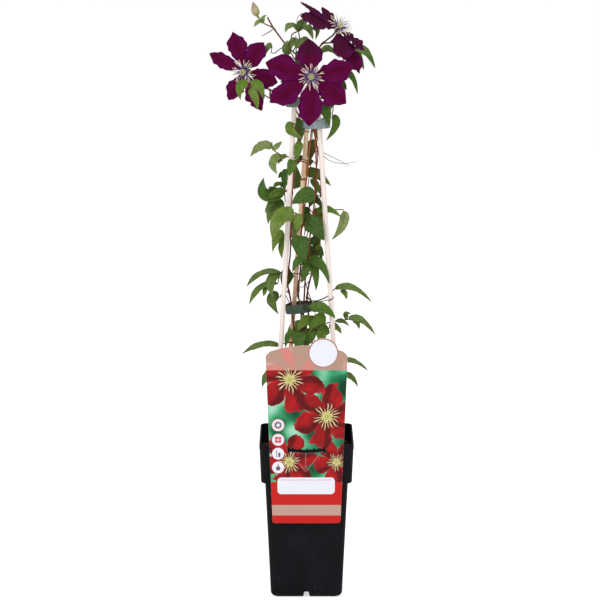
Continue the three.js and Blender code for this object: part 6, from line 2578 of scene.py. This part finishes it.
@dataclass
class Tendrils:
    """Thin twining stalks: a forked pair that hangs out to the right, and a dark curl over the crown."""

    radius: float = 0.45
    fork: Place = (17, 1, 572)
    pale: StemSkin = StemSkin("tendril_skin", (112, 84, 92), (122, 116, 88), 0.5)
    dark: StemSkin = StemSkin("curl_skin", (70, 44, 40), (96, 70, 48), 0.6)

    def dressed(self) -> None:
        """Builds the tendrils and gives them their finishes."""
        forked, curl = Tubes(self.radius, 2), Tubes(self.radius, 2)
        root = on_vine("right", self.fork[2])
        forked.add(through([root, self.fork, (36, -6, 564), (55, -13, 555)], 40), (1.3, 1.0, 0.8, 0.5))
        forked.add(through([self.fork, (27, -2, 562), (46, -9, 558), (63, -13, 561)], 36), (1.0, 0.8, 0.5))
        curl.add(through([(-10, -6, 724), (-5, -8, 733), (-2, -9, 741), (-6, -9, 746), (-11, -9, 741),
                          (-12, -9, 733), (-8, -9, 729), (-5, -9, 733)], 60), (1.2, 1.0, 0.9, 0.6))
        finish_piece(dress(forked.mesh("forked_tendril"), self.pale.material()), "tendrils", "tendrils")
        finish_piece(dress(curl.mesh("crown_curl"), self.dark.material()), "tendrils")


# ---------- studio ----------


@dataclass
class Studio:
    """A plain white floor, soft white light from all round, and the camera."""

    lens: float = 140.9
    stand: Place = (-8.3, -2950.7, 923.06)
    pitch: float = 79.6
    glow: float = 0.4
    aim: Place = (0, 0, 0.4)
    lamps: tuple[tuple[str, Place, float, float], ...] = (
        ("lamp_left", (-1.3, -2.1, 1.7), 1.4, 30), ("lamp_right", (1.9, -1.5, 1.3), 1.6, 12),
        ("lamp_top", (0.2, 0.3, 2.4), 1.8, 16))

    def floor(self) -> None:
        """Lays the floor."""
        deselect()
        bpy.ops.mesh.primitive_circle_add(vertices=64, radius=14, fill_type="NGON")
        w = Recipe("studio_white", Roughness=0.9, Specular_IOR_Level=0.1)
        tone = w.mix(w.noise(w.here(), 0.6, 1), (252, 252, 252), WHITE)
        seen = w.band(w.node("LightPath", out="Is Camera Ray"), 0, 1, 0.1, 0.62)
        dress(added("studio_floor"), w.feed(
            Base_Color=tone, Emission_Color=tone, Emission_Strength=seen))

    def light(self) -> None:
        """Sets the even glow of the room and three large soft lamps."""
        world = bpy.data.worlds.new("studio_glow")
        bpy.context.scene.world = world
        world.use_nodes = True
        w = Wires(world.node_tree)
        room = world.node_tree.nodes["Background"].inputs
        w.put(room["Color"], WHITE)
        w.put(room["Strength"], w.band(w.node("LightPath", out="Is Camera Ray"), 0, 1, self.glow, 1.05))
        for name, place, size, power in self.lamps:
            deselect()
            bpy.ops.object.light_add(type="AREA", location=place)
            lamp = bpy.context.object
            lamp.name = name
            lamp.data.size = size
            lamp.data.energy = power
            lamp.rotation_euler = (Vector(self.aim) - Vector(place)).to_track_quat("-Z", "Y").to_euler()

    def camera(self) -> None:
        """Places the camera in front, a little above the plant."""
        deselect()
        bpy.ops.object.camera_add(location=metres(self.stand), rotation=(math.radians(self.pitch), 0, 0))
        camera = bpy.context.object
        camera.name = "front_camera"
        camera.data.lens = self.lens
        camera.data.sensor_width = 36
        camera.data.clip_end = 100
        bpy.context.scene.camera = camera

    def dressed(self) -> None:
        """Lays the floor, lights it and places the camera."""
        self.floor()
        self.light()
        self.camera()
        bpy.context.scene.view_settings.view_transform = "Standard"


# ---------- assembly ----------


def main() -> None:
    """Builds the whole plant round its frame and sets the studio."""
    logging.basicConfig(level=logging.INFO, format="%(message)s")
    pot = Pot()
    for part in (Studio(), pot, Soil(pot), PlantCard(), Canes(), *CLIPS, WireTies(), Vines(), Foliage(),
                 Flowers(), Bud(), Tendrils()):
        part.dressed()
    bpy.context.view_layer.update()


if __name__ == "__main__":
    main()
